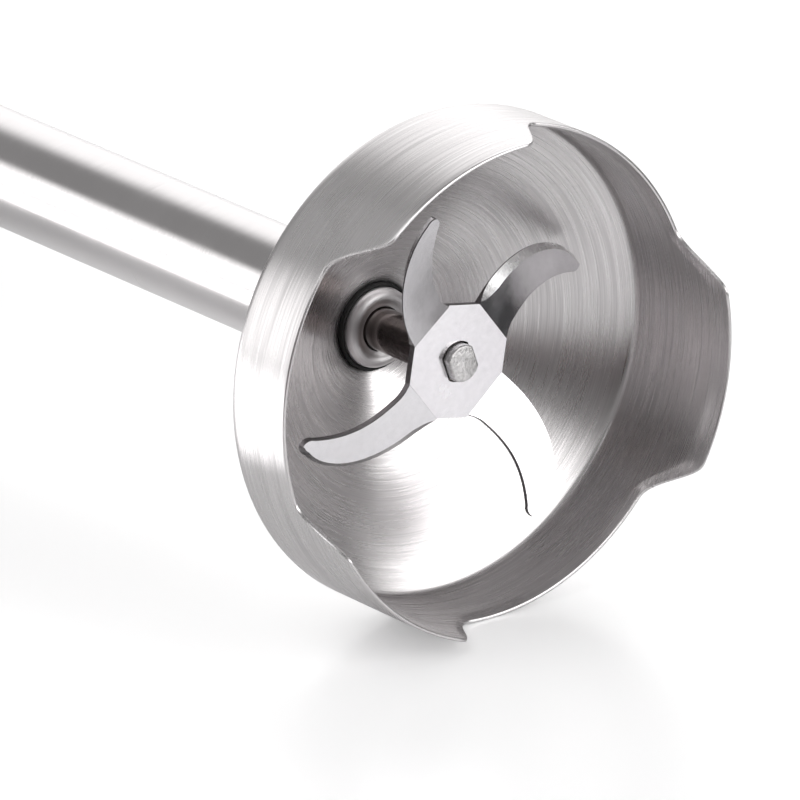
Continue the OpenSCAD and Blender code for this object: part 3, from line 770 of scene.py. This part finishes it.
class HANDBLENDER_OT_bell(bpy.types.Operator):
    """Turn the bell from its profile and shape its three tabs"""
    bl_idname = "hand_blender.bell"
    bl_label = "Bell guard"

    def execute(self, context):
        piece = turned("bell_guard_brushed", bell_profile(), 432)
        start = (CORNER_X + 3.5) * MM
        full = MOUTH_X * MM
        for vertex in piece.data.vertices:
            y, z = vertex.co.y, vertex.co.z - AXIS_H * MM
            if vertex.co.x > start and math.hypot(y, z) > (SKIRT_IN - 0.3) * MM:
                top = (CORNER_X + rim_height(math.degrees(math.atan2(z, y)))) * MM
                vertex.co.x = start + (vertex.co.x - start) * (top - start) / (full - start)
        finish = steel()
        finish_in(piece, 40, ring_brushed("bell_brushed_steel", tuple(finish.bell_colour),
                      finish.bell_roughness, finish.brushing, 0.17, 5200.0, 1.7),
                  "foot", "brushed_steel", "bell_guard")
        return {"FINISHED"}


class HANDBLENDER_OT_tube(bpy.types.Operator):
    """Turn the foot's tube, the sleeve and the lip seal"""
    bl_idname = "hand_blender.tube"
    bl_label = "Tube, sleeve and seal"

    def execute(self, context):
        front = plate_x(TUBE_R) - SHEET_X
        inside = TUBE_R - 0.8
        tube = turned("foot_tube_brushed", [
            (inside, 20.0), (TUBE_R - 0.2, 20.0), (TUBE_R, 20.2),
            *steps_between((TUBE_R, 20.2), (TUBE_R, front), 12),
            (TUBE_R, front), (inside, front - 0.8 * PLATE_SLOPE), (inside, 20.0)])
        finish = steel()
        finish_in(tube, 32, ring_brushed("tube_brushed_steel", shade_of(finish.bell_colour, 1.03), 0.2,
                      0.5, 0.012, 4200.0, 0.5),
                  "foot", "brushed_steel", "foot_tube")

        bore, back = SHAFT_R + 0.05, SLEEVE_FRONT - 16
        drops = ((0.0, 1.6), (0.08, 1.05), (0.38, 0.5), (0.85, 0.12), (1.3, 0.0), (1.75, 0.12),
                 (2.3, 0.42), (2.85, 0.58))
        nose = smooth_run([(SLEEVE_R - inward, SLEEVE_FRONT - drop) for inward, drop in drops], 4)
        sleeve = turned("nose_sleeve_turned", [
            (bore, back), (SLEEVE_R, back), *steps_between((SLEEVE_R, back), nose[0], 6),
            *nose, (bore + 0.12, SLEEVE_FRONT - 0.75), (bore, SLEEVE_FRONT - 0.9), (bore, back)], 144)
        finish_in(sleeve, 40, ring_brushed("sleeve_turned_steel", (0.6, 0.585, 0.59), 0.42, 0.3, 0.06,
                      5200.0, 0.6),
                  "foot", "polished_steel", "nose_sleeve")

        seal_front, seal_back = high("lip_seal", 0), low("lip_seal", 0)
        seal = turned("lip_seal_rubber", [
            (SLEEVE_R + 0.03, seal_back), (HUB_R - 0.03, seal_back), (HUB_R - 0.03, seal_front - 0.2),
            (HUB_R - 0.09, seal_front - 0.06), (HUB_R - 0.22, seal_front), (SLEEVE_R + 0.15, seal_front),
            (SLEEVE_R + 0.03, seal_front - 0.12),
            (SLEEVE_R + 0.03, seal_back)], 144)
        # The seal is black rubber, but its near-black colour, far darker than the other rubber, is also
        # painted shadow for the dark gap between the hub's hole and the sleeve.
        finish_in(seal, 32, soft_rubber("seal_rubber_painted_shadow", (0.004, 0.004, 0.004), 0.6, 2600.0,
                      0.00004, 0.0),
                  "foot", "black_rubber", "lip_seal")
        return {"FINISHED"}


class HANDBLENDER_OT_shaft(bpy.types.Operator):
    """Turn the drive shaft and form its riveted end"""
    bl_idname = "hand_blender.shaft"
    bl_label = "Drive shaft"

    def execute(self, context):
        neck = BLADE_FRONT - BLADE_T
        shaft = turned("drive_shaft_ground", [
            (0, -4.0), (SHAFT_R - 0.4, -4.0), (SHAFT_R, -3.6),
            *steps_between((SHAFT_R, -3.6), (SHAFT_R, neck), 10),
            (SHAFT_R, neck - 0.15), (SHAFT_R - 0.15, neck), (0, neck)], 128)
        shade(shaft, 40)
        # The shaft's dark warm brown colour is painted reflection: ground steel darkened to stand in for
        # the dark surroundings it mirrors.
        assign(shaft, ring_brushed("shaft_ground_steel_painted_reflection", (0.27, 0.235, 0.225), 0.1, 0.2, 0.05, 4200.0, 0.8))

        end = skinned("rivet_end", [double_d(neck, 3.0, 2.47), double_d(SHAFT_FRONT, 3.0, 2.47)])
        apply_modifier(end, "BEVEL", width=0.35 * MM, segments=4, limit_method="ANGLE",
                       angle_limit=math.radians(50))
        shade(end, 45)
        assign(end, grainy_metal("rivet_peened_steel", (0.66, 0.65, 0.65), 0.34, 2000.0, 0.00035, 0.3))
        piece = joined([shaft, end])
        finish_piece(piece, "blade_shaft", "polished_steel", "drive_shaft")
        return {"FINISHED"}


# ---- the blade ----

FOLD_R = 8.5
ROOT_OUT = 4.1
ROOT_IN = 3.6
ARM_L = 27.8
BLADE_TURN = 128.0
# How much wider an arm is on its concave side beside the fold and how far that reaches, then where
# that edge starts to curve away, how far it drops, and how far it stops short of the tip.
ROOT_FLARE = 0.9
FLARE_L = 3.0
HOLLOW_X = 11.5
HOLLOW_H = 5.3
TIP_BACK = 2.6
# Each arm's small extra turn and its bend towards the mouth, in degrees, and its ground edge's tone. The
# tone is painted light and shade: one ground steel made lighter or darker per arm to follow how the light
# falls on it.
ARM_SET = ((0.0, 18.0, 0.72), (0.0, -12.0, 0.2), (2.5, 23.0, 0.72), (0.0, -12.0, 0.86))


def flare(x):
    return ROOT_FLARE * min(1.0, max(0.0, 1 - (x - FOLD_R) / FLARE_L)) ** 2


def arm_inner(x):
    along = max(0.0, (x - HOLLOW_X) / (ARM_L - TIP_BACK - HOLLOW_X))
    return -ROOT_IN - flare(x) - HOLLOW_H * along ** 2.6


def arm_outer(t):
    """Point on the bowed edge; t runs from 0 at the fold to 1 at the tip."""
    bow_l, bow_h = 17.2, 12.5
    bow_x = ARM_L - bow_l
    straight = 0.12
    if t < straight:
        return FOLD_R - 0.1 + (bow_x - FOLD_R + 0.1) * t / straight, ROOT_OUT
    a = math.radians(90 - 86 * (t - straight) / (1 - straight))
    return bow_x + bow_l * math.cos(a), ROOT_OUT - bow_h + bow_h * math.sin(a)


def arm_rings(bevel, edge, from_below):
    """Sections of an arm from its fold to its tip, as (along, across, up) points."""
    rings = []
    count = 44
    for i in range(count + 1):
        t = i / count
        outer = Vector(arm_outer(t))
        along = FOLD_R - 0.1 + (ARM_L - TIP_BACK - FOLD_R + 0.1) * math.sin(math.pi / 2 * t)
        rings.append(arm_section(outer, Vector((along, arm_inner(along))), t, bevel, edge, from_below))
    outer, inner = Vector(arm_outer(1)), Vector((ARM_L - TIP_BACK, arm_inner(ARM_L - TIP_BACK)))
    middle, half = (outer + inner) / 2, (outer - inner) / 2
    ahead = Vector((half.y, -half.x))
    for i in range(1, 10):
        a = math.pi / 2 * i / 9.3
        centre = middle + ahead * math.sin(a)
        rings.append(arm_section(centre + half * math.cos(a), centre - half * math.cos(a), 1.0, bevel, edge,
                                 from_below))
    return rings


def arm_section(outer, inner, t, bevel, edge, from_below):
    """One section across an arm, ground thin towards its bowed edge."""
    width = (outer - inner).length
    grow = min(1.0, max(0.0, (t - 0.03) / 0.16)) ** 0.7
    ground = min(bevel * grow * (1 - 0.5 * t), width * 0.45)
    thin = BLADE_T - (BLADE_T - edge) * grow
    inward = (inner - outer).normalized()
    shoulder = outer + inward * max(ground, 0.04)
    nudge = -inward * min(0.08, width * 0.1)
    ring = [(inner.x, inner.y, 0.08), (inner.x, inner.y, BLADE_T - 0.08),
            (inner.x + nudge.x, inner.y + nudge.y, BLADE_T), (shoulder.x, shoulder.y, BLADE_T),
            (outer.x, outer.y, thin), (outer.x, outer.y, 0.0), (inner.x + nudge.x, inner.y + nudge.y, 0.0)]
    if from_below:
        ring = [(x, y, BLADE_T - up) for x, y, up in ring]
    return ring


def place_on_blade(point, turn, bend):
    """Folds an arm's point at the fold line and turns the arm round the shaft."""
    along, across, up = point
    a = math.radians(bend)
    dx, dz = along - FOLD_R, up - BLADE_T / 2
    along = FOLD_R + dx * math.cos(a) - dz * math.sin(a)
    up = BLADE_T / 2 + dx * math.sin(a) + dz * math.cos(a)
    c, s = math.cos(math.radians(turn)), math.sin(math.radians(turn))
    return (BLADE_FRONT - BLADE_T + up, along * c - across * s, AXIS_H + along * s + across * c)


class HANDBLENDER_OT_blade(bpy.types.Operator):
    """Stamp the blade's hub and its four folded arms, with their ground edges"""
    bl_idname = "hand_blender.blade"
    bl_label = "Blade"

    def execute(self, context):
        bevel, edge = sizes().bevel_width / MM, sizes().edge_thickness / MM
        wide_in = ROOT_IN + ROOT_FLARE
        corners = []
        for i in range(4):
            c, s = math.cos(math.pi / 2 * i), math.sin(math.pi / 2 * i)
            corners.append((FOLD_R * c + wide_in * s, FOLD_R * s - wide_in * c))
            corners.append((FOLD_R * c - ROOT_OUT * s, FOLD_R * s + ROOT_OUT * c))
        rings = [[place_on_blade((x, y, up), BLADE_TURN, 0) for x, y in corners] for up in (0.0, BLADE_T)]
        hub = skinned("blade_stamped", rings)
        hole = skinned("hole", [double_d(x, 3.3, 2.68) for x in (BLADE_FRONT - 3, BLADE_FRONT + 3)])
        combine(hub, hole)
        face = grainy_metal("blade_face_steel", tuple(steel().blade_colour), 0.2, 900.0, 0.00002, 0.06)
        # Sheared steel for the faces across the sheet: its rough grain is the edge's own, its near-black
        # colour is painted shade on the thin edges and inside the shaft hole.
        sheared = grainy_metal("blade_sheared_edge_painted_shade", (0.17, 0.16, 0.165), 0.42, 2400.0, 0.00006, 0.3)
        assign(hub, face, sheared)
        pick_edge_faces(hub, BLADE_TURN, 0, 1)
        parts = [hub]
        for i in range(4):
            extra, bend, tone = ARM_SET[i]
            spin = BLADE_TURN + 90 * i + extra
            arm = skinned("arm_%d" % i, [[place_on_blade(p, spin, bend) for p in ring]
                                         for ring in arm_rings(bevel, edge, i % 2 == 0)])
            # Each arm's ground edge is one steel with its own painted light and shade, lighter or darker by
            # the arm's tone.
            ground = straight_brushed("blade_ground_edge_painted_shading_%d" % (i + 1), (tone, tone * 0.985, tone),
                                      0.26, 0.3, 0.22, spin + 40, 2600.0)
            assign(arm, face, sheared, ground)
            pick_edge_faces(arm, spin, bend, 1)
            parts.append(arm)
        piece = joined(parts)
        shade(piece, 24)
        finish_piece(piece, "blade_shaft", "spring_steel", "blade")
        return {"FINISHED"}


def pick_edge_faces(piece, spin, bend, sheared):
    """Gives sheared steel, darkened as painted shade, to the faces across the sheet, and the next material
    to the ground ones.
    """
    origin = Vector(place_on_blade((FOLD_R, 0, BLADE_T / 2), spin, bend))
    top = (Vector(place_on_blade((FOLD_R, 0, BLADE_T / 2 + 1), spin, bend)) - origin).normalized()
    for face in piece.data.polygons:
        lean = abs(face.normal.dot(top))
        if lean <= 0.3:
            face.material_index = sheared
        elif lean < 0.97 and len(piece.data.materials) > sheared + 1:
            face.material_index = sheared + 1


# ---- the collar ----


def sector(name, x0, x1, outer, inner, middle, half):
    """A block between two radii that spans an angle, in degrees from +Y towards +Z."""
    return turned(name, [(inner, x0), (outer, x0), (outer, x1), (inner, x1), (inner, x0)], 16,
                  math.radians(2 * half), start=math.radians(middle - half))


class HANDBLENDER_OT_collar(bpy.types.Operator):
    """Turn the twist-lock collar, its trim ring and the ring on the handle's nose"""
    bl_idname = "hand_blender.collar"
    bl_label = "Collar and rings"

    def execute(self, context):
        spigot, bore, front = 16.0, TUBE_R + 0.03, high("foot_collar", 0)
        narrowing = smooth_run([
            *((r, JOINT_X + x) for r, x in (
                (23.4, 6), (22.6, 10), (20.4, 14), (17.2, 18), (14.4, 22), (12.7, 26))),
            (12.0, front - 0.4)])
        collar = turned("foot_collar_moulded", [
            (11.4, -14.0), (spigot - 0.3, -14.0), (spigot, -13.7), (spigot, JOINT_X), (22.9, JOINT_X),
            (23.25, JOINT_X + 0.12), (23.4, JOINT_X + 0.5), *narrowing, (11.7, front), (bore, front),
            (bore, 18.0), (11.4, 18.0), (11.4, -14.0)])
        lugs = [sector("lug", -9.6, -5.4, 18.5, 15.8, 120 * i + 90, 12) for i in range(3)]
        collar = joined([collar, *lugs])
        finish_in(collar, 35, black_plastic("collar_black_plastic", 0.34, 2400.0, 0.00003),
                  "foot", "black_plastic", "foot_collar")

        x0 = front + 0.1
        trim = turned("collar_ring_polished", [
            (bore, x0), *arc_points(11.8, x0 + 0.4, 0.4, -90, 0, 5),
            *arc_points(11.4, x0 + 3.2, 0.8, 0, 90, 6), (bore, x0 + 4.0), (bore, x0)])
        bright = ring_brushed("trim_polished_steel", (0.74, 0.735, 0.73), 0.14, 0.5, 0.05, 3000.0, 0.8)
        finish_in(trim, 40, bright, "foot", "polished_steel", "collar_ring")

        ring_in, ring_out = 21.63, NOSE_R + 0.3
        back, ahead = SHELL_FRONT + 0.05, JOINT_X - 0.3
        nose = turned("nose_ring_polished", [
            (ring_in, back), (ring_out - 0.3, back),
            *arc_points(ring_out - 0.5, back + 0.5, 0.5, -90, 0, 5),
            *arc_points(ring_out - 0.7, ahead - 0.7, 0.7, 0, 90, 6), (ring_in, ahead), (ring_in, back)])
        finish_in(nose, 40, bright, "handle", "polished_steel", "nose_ring")
        return {"FINISHED"}


# ---- the handle ----

GROW_SIDE, GROW_UP, GROW_DOWN = 8.0, 5.0, 13.5
CAP_ROUND = 15.0
SECTION_SIDES = 168


def swell(x):
    """How far the handle has grown from its nose to its widest, from 0 to 1."""
    t = min(1.0, max(0.0, (SHELL_FRONT - x) / (SHELL_FRONT - SHELL_BACK)))
    return t * t * (3 - 2 * t)


def draw_in(x):
    """How far the closed end of the handle draws in at its rounded edge."""
    if x > SHELL_BACK:
        return 0.0
    k = min(1.0, (SHELL_BACK - x) / (SHELL_BACK - CAP_BACK))
    return CAP_ROUND * (1 - math.sqrt(max(0.0, 1 - k * k)))


def handle_section(x, inset):
    """Ring round the handle at x; inset is a distance, or a function of x and the angle."""
    points = []
    for i in range(SECTION_SIDES):
        a = FULL_TURN * i / SECTION_SIDES
        c, s = math.cos(a), math.sin(a)
        d = (inset(x, a) if callable(inset) else inset) + draw_in(x)
        grow = GROW_UP if s > 0 else GROW_DOWN
        points.append((x, (NOSE_R + GROW_SIDE * swell(x) - d) * math.copysign(abs(c) ** 0.92, c),
                       AXIS_H + (NOSE_R + grow * swell(x) - d) * math.copysign(abs(s) ** 0.92, s)))
    return points


def handle_form(name, xs, inset=0.0):
    return skinned(name, [handle_section(x, inset) for x in xs])


def stations(x0, x1, count):
    return [x0 + (x1 - x0) * i / count for i in range(count + 1)]


SHELL_XS = stations(SHELL_FRONT, SHELL_BACK, 72)
# Middle and length of each button.
BUTTONS = {"power": (-130.0, 26.0), "turbo": (-156.0, 16.0)}
BUTTON_W = 15.0
# Where the soft grip ends towards the nose and the back, and its upper edge.
GRIP_FRONT, GRIP_BACK, GRIP_TOP = -28.0, -112.0, AXIS_H - 8
SCREW_XS, SCREW_Y, SCREW_WELL_R = (-122, -168), 20.5, 3.0
# The air slots on each side: the first one's place, how far apart they are, how many, their tilt.
SLOT_X, SLOT_Y, SLOT_H, SLOT_PITCH, SLOT_COUNT, SLOT_TILT = -38, 22, 9, 4.4, 5, 35


def hollow_form(name, inset):
    """A handle form that runs past both ends of the shell, to cut out its inside."""
    return handle_form(name, stations(SHELL_FRONT + 1, SHELL_BACK - 1, 36), inset)


def shell_wall(name):
    return combine(handle_form(name, SHELL_XS), hollow_form("hollow", WALL))


def halve(piece, height, keep_upper):
    activate(piece)
    bpy.ops.object.mode_set(mode="EDIT")
    bpy.ops.mesh.select_all(action="SELECT")
    bpy.ops.mesh.bisect(plane_co=(0, 0, height * MM), plane_no=(0, 0, 1), clear_inner=keep_upper,
                        clear_outer=not keep_upper, use_fill=True)
    bpy.ops.object.mode_set(mode="OBJECT")
    return piece


class HANDBLENDER_OT_shells(bpy.types.Operator):
    """Shape the two halves of the handle's shell, with button holes and air slots"""
    bl_idname = "hand_blender.shells"
    bl_label = "Handle shells"

    def execute(self, context):
        black = black_plastic("shell_black_plastic")
        upper = halve(shell_wall("front_shell_moulded"), AXIS_H + 0.08, True)
        for x, length in BUTTONS.values():
            combine(upper, stadium("hole", x, length + 0.7, BUTTON_W + 0.7, AXIS_H + 12, AXIS_H + 42))
        for side in (-1, 1):
            for i in range(SLOT_COUNT):
                slot = block("slot", (-1, -8, -6), (1, 8, 6))
                slot.rotation_euler = (math.radians(side * -SLOT_TILT), 0, 0)
                slot.location = Vector((SLOT_X - SLOT_PITCH * i, side * SLOT_Y, AXIS_H + SLOT_H)) * MM
                combine(upper, settle(slot))
        finish_in(upper, 35, black, "handle", "black_plastic", "front_shell")

        lower = halve(shell_wall("rear_shell_moulded"), AXIS_H - 0.08, False)
        bed = handle_form("bed", SHELL_XS, -1.0)
        combine(bed, hollow_form("bed_floor", 1.2))
        combine(bed, block("bed_zone", (GRIP_BACK, -60, -30), (GRIP_FRONT, 60, GRIP_TOP)), "INTERSECT")
        combine(lower, bed)
        for x in SCREW_XS:
            for side in (-1, 1):
                combine(lower, rod("screw_well", (x, side * SCREW_Y, 10), SCREW_WELL_R, 44, "Z", 48))
        finish_in(lower, 35, black, "handle", "black_plastic", "rear_shell")
        return {"FINISHED"}


class HANDBLENDER_OT_grips(bpy.types.Operator):
    """Shape the ribbed soft grip and the pad that the handle rests on"""
    bl_idname = "hand_blender.grips"
    bl_label = "Soft grip and rest pad"

    def execute(self, context):
        pitch, depth = plastic().rib_pitch / MM, plastic().rib_depth / MM
        x0, x1 = GRIP_FRONT - 0.3, GRIP_BACK + 0.3

        def ribbed(x, a):
            fade = min(1.0, max(0.0, min(x0 - 3 - x, x - x1 - 3) / 2))
            wave = 0.5 - 0.5 * math.cos(FULL_TURN * (x - x0) / pitch)
            return depth * fade * wave ** 3

        grip = handle_form("grip_pad_soft", stations(SHELL_FRONT, SHELL_BACK, 18)[:1]
                           + stations(-20, -120, 400) + [SHELL_BACK], ribbed)
        combine(grip, hollow_form("grip_inside", 1.15))
        combine(grip, block("grip_zone", (GRIP_BACK + 0.2, -60, -30),
                            (GRIP_FRONT - 0.2, 60, GRIP_TOP - 0.2)), "INTERSECT")
        finish_in(grip, 35, soft_rubber("grip_soft_rubber", tuple(plastic().grip_colour), 0.62, 1500.0,
                      0.00005),
                  "handle", "soft_grip", "grip_pad")

        pad = block("rest_pad_rubber", (-172, -13, 0), (-138, 13, 8))
        bpy.ops.object.mode_set(mode="EDIT")
        bpy.ops.mesh.select_all(action="SELECT")
        bpy.ops.mesh.bevel(offset=1.6 * MM, segments=5, affect="EDGES")
        bpy.ops.object.mode_set(mode="OBJECT")
        combine(pad, handle_form("handle_belly", SHELL_XS, -0.02))
        finish_in(pad, 35, soft_rubber("rest_black_rubber", (0.02, 0.02, 0.021), 0.6, 1300.0, 0.00006),
                  "handle", "black_rubber", "rest_pad")
        return {"FINISHED"}


class HANDBLENDER_OT_end(bpy.types.Operator):
    """Shape the end cap, the knurled speed dial and the cord inlet"""
    bl_idname = "hand_blender.end"
    bl_label = "End cap, dial and inlet"

    def execute(self, context):
        dial_z, gland_z, dial_r = AXIS_H + 8, AXIS_H - 19, 13.0
        depth = SHELL_BACK - 0.1 - CAP_BACK
        xs = [SHELL_BACK - 0.1 - depth * math.sin(math.pi / 2 * i / 30) for i in range(31)]
        cap = handle_form("end_cap_moulded", xs)
        combine(cap, handle_form("cap_hollow", [
            SHELL_BACK + 1, SHELL_BACK - 4, SHELL_BACK - 10, CAP_BACK + 3], WALL))
        combine(cap, rod("dial_seat", (CAP_BACK - 2.2, 0, dial_z), dial_r + 0.6, 5.6, "X", 128))
        combine(cap, rod("dial_bore", (CAP_BACK + 2.5, 0, dial_z), 4.4, 15, "X"))
        combine(cap, rod("gland_bore", (CAP_BACK + 2.5, 0, gland_z), 6.53, 15, "X", 96))
        finish_in(cap, 35, black_plastic("cap_black_plastic"), "handle", "black_plastic", "end_cap")

        front = low("speed_dial", 0)
        dial = turned("speed_dial_knurled", [
            (0, front + 0.4), (dial_r - 3.2, front + 0.4), (dial_r - 2.6, front), (dial_r - 2, front),
            *arc_points(dial_r - 2, front + 2.0, 2.0, -90, 0, 8), (dial_r, front + 4.9),
            (dial_r - 0.3, front + 5.2), (4.0, front + 5.2), (4.0, front + 12), (3.0, front + 12),
            (3.0, front + 19.7), (2.7, front + 20), (0, front + 20)], 240, centre=(0.0, 0.0, dial_z))
        grooves = []
        for i in range(24):
            a = FULL_TURN * i / 24
            grooves.append(rod("groove", (front + 4.1, (dial_r + 0.3) * math.cos(a),
                                          dial_z + (dial_r + 0.3) * math.sin(a)), 0.8, 5, "X", 20))
        combine(dial, joined(grooves))
        marker = block("marker", (front + 0.15, -0.6, dial_z + 4.2), (front + 0.6, 0.6, dial_z + 9.4))
        apply_modifier(marker, "BEVEL", width=0.2 * MM, segments=3)
        dial = joined([dial, marker])
        finish_in(dial, 35, grey_plastic("dial_grey_plastic", 0.4, 2000.0, 0.00003, 0.1),
                  "speed_dial", "button_grey", "speed_dial")

        inlet = turned("cord_gland_rubber", [
            (r, front + x) for r, x in (
                (3.6, 0.3), (3.9, 0), (4.7, 0), (5.2, 0.2), (6.1, 0.9), (6.4, 1.6), (6.5, 3.9),
                (7.8, 4.0), (8.0, 4.2), (8.0, 4.8), (6.5, 4.95), (6.5, 12), (3.6, 12), (3.6, 0.3))],
            96, centre=(0.0, 0.0, gland_z))
        finish_in(inlet, 35, soft_rubber("inlet_black_rubber", (0.018, 0.018, 0.018), 0.5, 1600.0, 0.00005),
                  "handle", "black_rubber", "cord_gland")
        return {"FINISHED"}


class HANDBLENDER_OT_buttons(bpy.types.Operator):
    """Shape the two buttons, crowned like the handle, with finger ridges"""
    bl_idname = "hand_blender.buttons"
    bl_label = "Buttons"

    def execute(self, context):
        grey = grey_plastic("button_grey_plastic", 0.42, 1900.0, 0.00004, 0.05)
        for name, (x, length) in BUTTONS.items():
            key = name + "_button"
            button = stadium(key + "_moulded", x, length, BUTTON_W, AXIS_H + 17, AXIS_H + 57)
            combine(button, handle_form("crown", stations(x + 20, x - 20, 80), -1.6), "INTERSECT")
            apply_modifier(button, "BEVEL", width=0.7 * MM, segments=4, limit_method="ANGLE",
                           angle_limit=math.radians(40))
            top = high(key, 2)
            count = 3 if name == "power" else 2
            for i in range(count):
                groove_x = x + (i - (count - 1) / 2) * 4
                combine(button, rod("groove", (groove_x, 0, top + 0.35), 0.8, 8, "Y", 32))
            finish_in(button, 35, grey, key, "button_grey", key)
        return {"FINISHED"}


# ---- the parts inside ----


class HANDBLENDER_OT_inside(bpy.types.Operator):
    """Give every part inside the handle and the foot its finish"""
    bl_idname = "hand_blender.inside"
    bl_label = "Inner parts"

    def execute(self, context):
        finishes = [
            (grainy_metal("bush_sintered_bronze", (0.42, 0.26, 0.13), 0.42, 2600.0, 0.00005, 0.2),
             "lower_bearing upper_bearing"),
            (soft_rubber("ring_black_rubber", (0.02, 0.02, 0.02), 0.55, 1600.0, 0.00005),
             "shaft_sealing_ring front_damper rear_damper"),
            (ring_brushed("inner_turned_steel", (0.66, 0.655, 0.65), 0.22, 0.4, 0.08, 3000.0, 0.8),
             "thrust_washer motor_shaft front_motor_bearing rear_motor_bearing"),
            (grainy_metal("clip_spring_steel", (0.3, 0.3, 0.31), 0.32, 1800.0, 0.00003),
             "shaft_clip brush_springs power_spring turbo_spring"),
            (grainy_metal("screw_zinc_steel", (0.62, 0.63, 0.64), 0.3, 1800.0, 0.00003), "shell_screws"),
            (moulded_plastic("socket_dark_nylon", (0.04, 0.04, 0.042), 0.45, 1500.0, 0.00004),
             "coupling_socket cooling_fan"),
            (moulded_plastic("dog_pale_nylon", (0.68, 0.66, 0.6), 0.42, 1500.0, 0.00004),
             "drive_dog lock_ring"),
            (grainy_metal("core_laminated_steel", (0.25, 0.255, 0.265), 0.45, 1400.0, 0.00006, 0.25),
             "armature_core stator_core"),
            (wound_copper("coil_copper_wire", (0.62, 0.27, 0.1)), "armature_windings field_coils"),
            (ring_brushed("commutator_copper", (0.7, 0.4, 0.2), 0.28, 0.4, 0.15, 2600.0, 1.0),
             "commutator"),
            (grainy_metal("frame_cast_alloy", (0.55, 0.56, 0.57), 0.46, 1200.0, 0.0001, 0.15),
             "front_frame rear_frame"),
            (grainy_metal("holder_brass", (0.62, 0.46, 0.2), 0.3, 1500.0, 0.00003), "brush_holders"),
            (grainy_metal("brush_carbon", (0.05, 0.05, 0.052), 0.5, 2200.0, 0.00006, 0.3, 0.2),
             "carbon_brushes"),
            (printed_board("board_green_lacquer", (0.03, 0.16, 0.07)), "circuit_board"),
            (moulded_plastic("switch_black_plastic", (0.03, 0.03, 0.032), 0.4, 1800.0, 0.00003),
             "power_switch turbo_switch"),
            (moulded_plastic("regulator_grey_plastic", (0.25, 0.25, 0.22), 0.45, 1800.0, 0.00003),
             "potentiometer"),
        ]
        for material, nodes in finishes:
            for node in nodes.split():
                assign(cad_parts[node], material)
        return {"FINISHED"}


# ---- panel and registration ----


class HANDBLENDER_PT_sidebar(bpy.types.Panel):
    """Settings and steps for building the immersion blender"""
    bl_label = "Hand blender"
    bl_idname = "HANDBLENDER_PT_sidebar"
    bl_space_type = "VIEW_3D"
    bl_region_type = "UI"
    bl_category = "Hand blender"

    def draw(self, context):
        layout = self.layout
        for group in ("blender_blade", "blender_steel", "blender_handle", "blender_studio"):
            settings = getattr(context.scene, group)
            box = layout.box()
            for key in settings.bl_rna.properties.keys():
                if key not in ("rna_type", "name"):
                    box.prop(settings, key)
        for step in STEPS:
            layout.operator(step.bl_idname)


STEPS = (HANDBLENDER_OT_stage, HANDBLENDER_OT_bell, HANDBLENDER_OT_tube, HANDBLENDER_OT_shaft,
         HANDBLENDER_OT_blade, HANDBLENDER_OT_collar, HANDBLENDER_OT_shells, HANDBLENDER_OT_grips,
         HANDBLENDER_OT_end, HANDBLENDER_OT_buttons, HANDBLENDER_OT_inside)
GROUPS = {"blender_blade": BladeSizes, "blender_steel": SteelFinish, "blender_handle": HandleFinish,
          "blender_studio": StudioSettings}


def register():
    for kind in (*GROUPS.values(), *STEPS, HANDBLENDER_PT_sidebar):
        bpy.utils.register_class(kind)
    for name, kind in GROUPS.items():
        setattr(bpy.types.Scene, name, PointerProperty(type=kind))


def unregister():
    for name in GROUPS:
        delattr(bpy.types.Scene, name)
    for kind in reversed((*GROUPS.values(), *STEPS, HANDBLENDER_PT_sidebar)):
        bpy.utils.unregister_class(kind)


def main():
    register()
    bpy.ops.hand_blender.stage()
    bpy.ops.hand_blender.bell()
    bpy.ops.hand_blender.tube()
    bpy.ops.hand_blender.shaft()
    bpy.ops.hand_blender.blade()
    bpy.ops.hand_blender.collar()
    bpy.ops.hand_blender.shells()
    bpy.ops.hand_blender.grips()
    bpy.ops.hand_blender.end()
    bpy.ops.hand_blender.buttons()
    bpy.ops.hand_blender.inside()
    deselect()


if __name__ == "__main__":
    main()
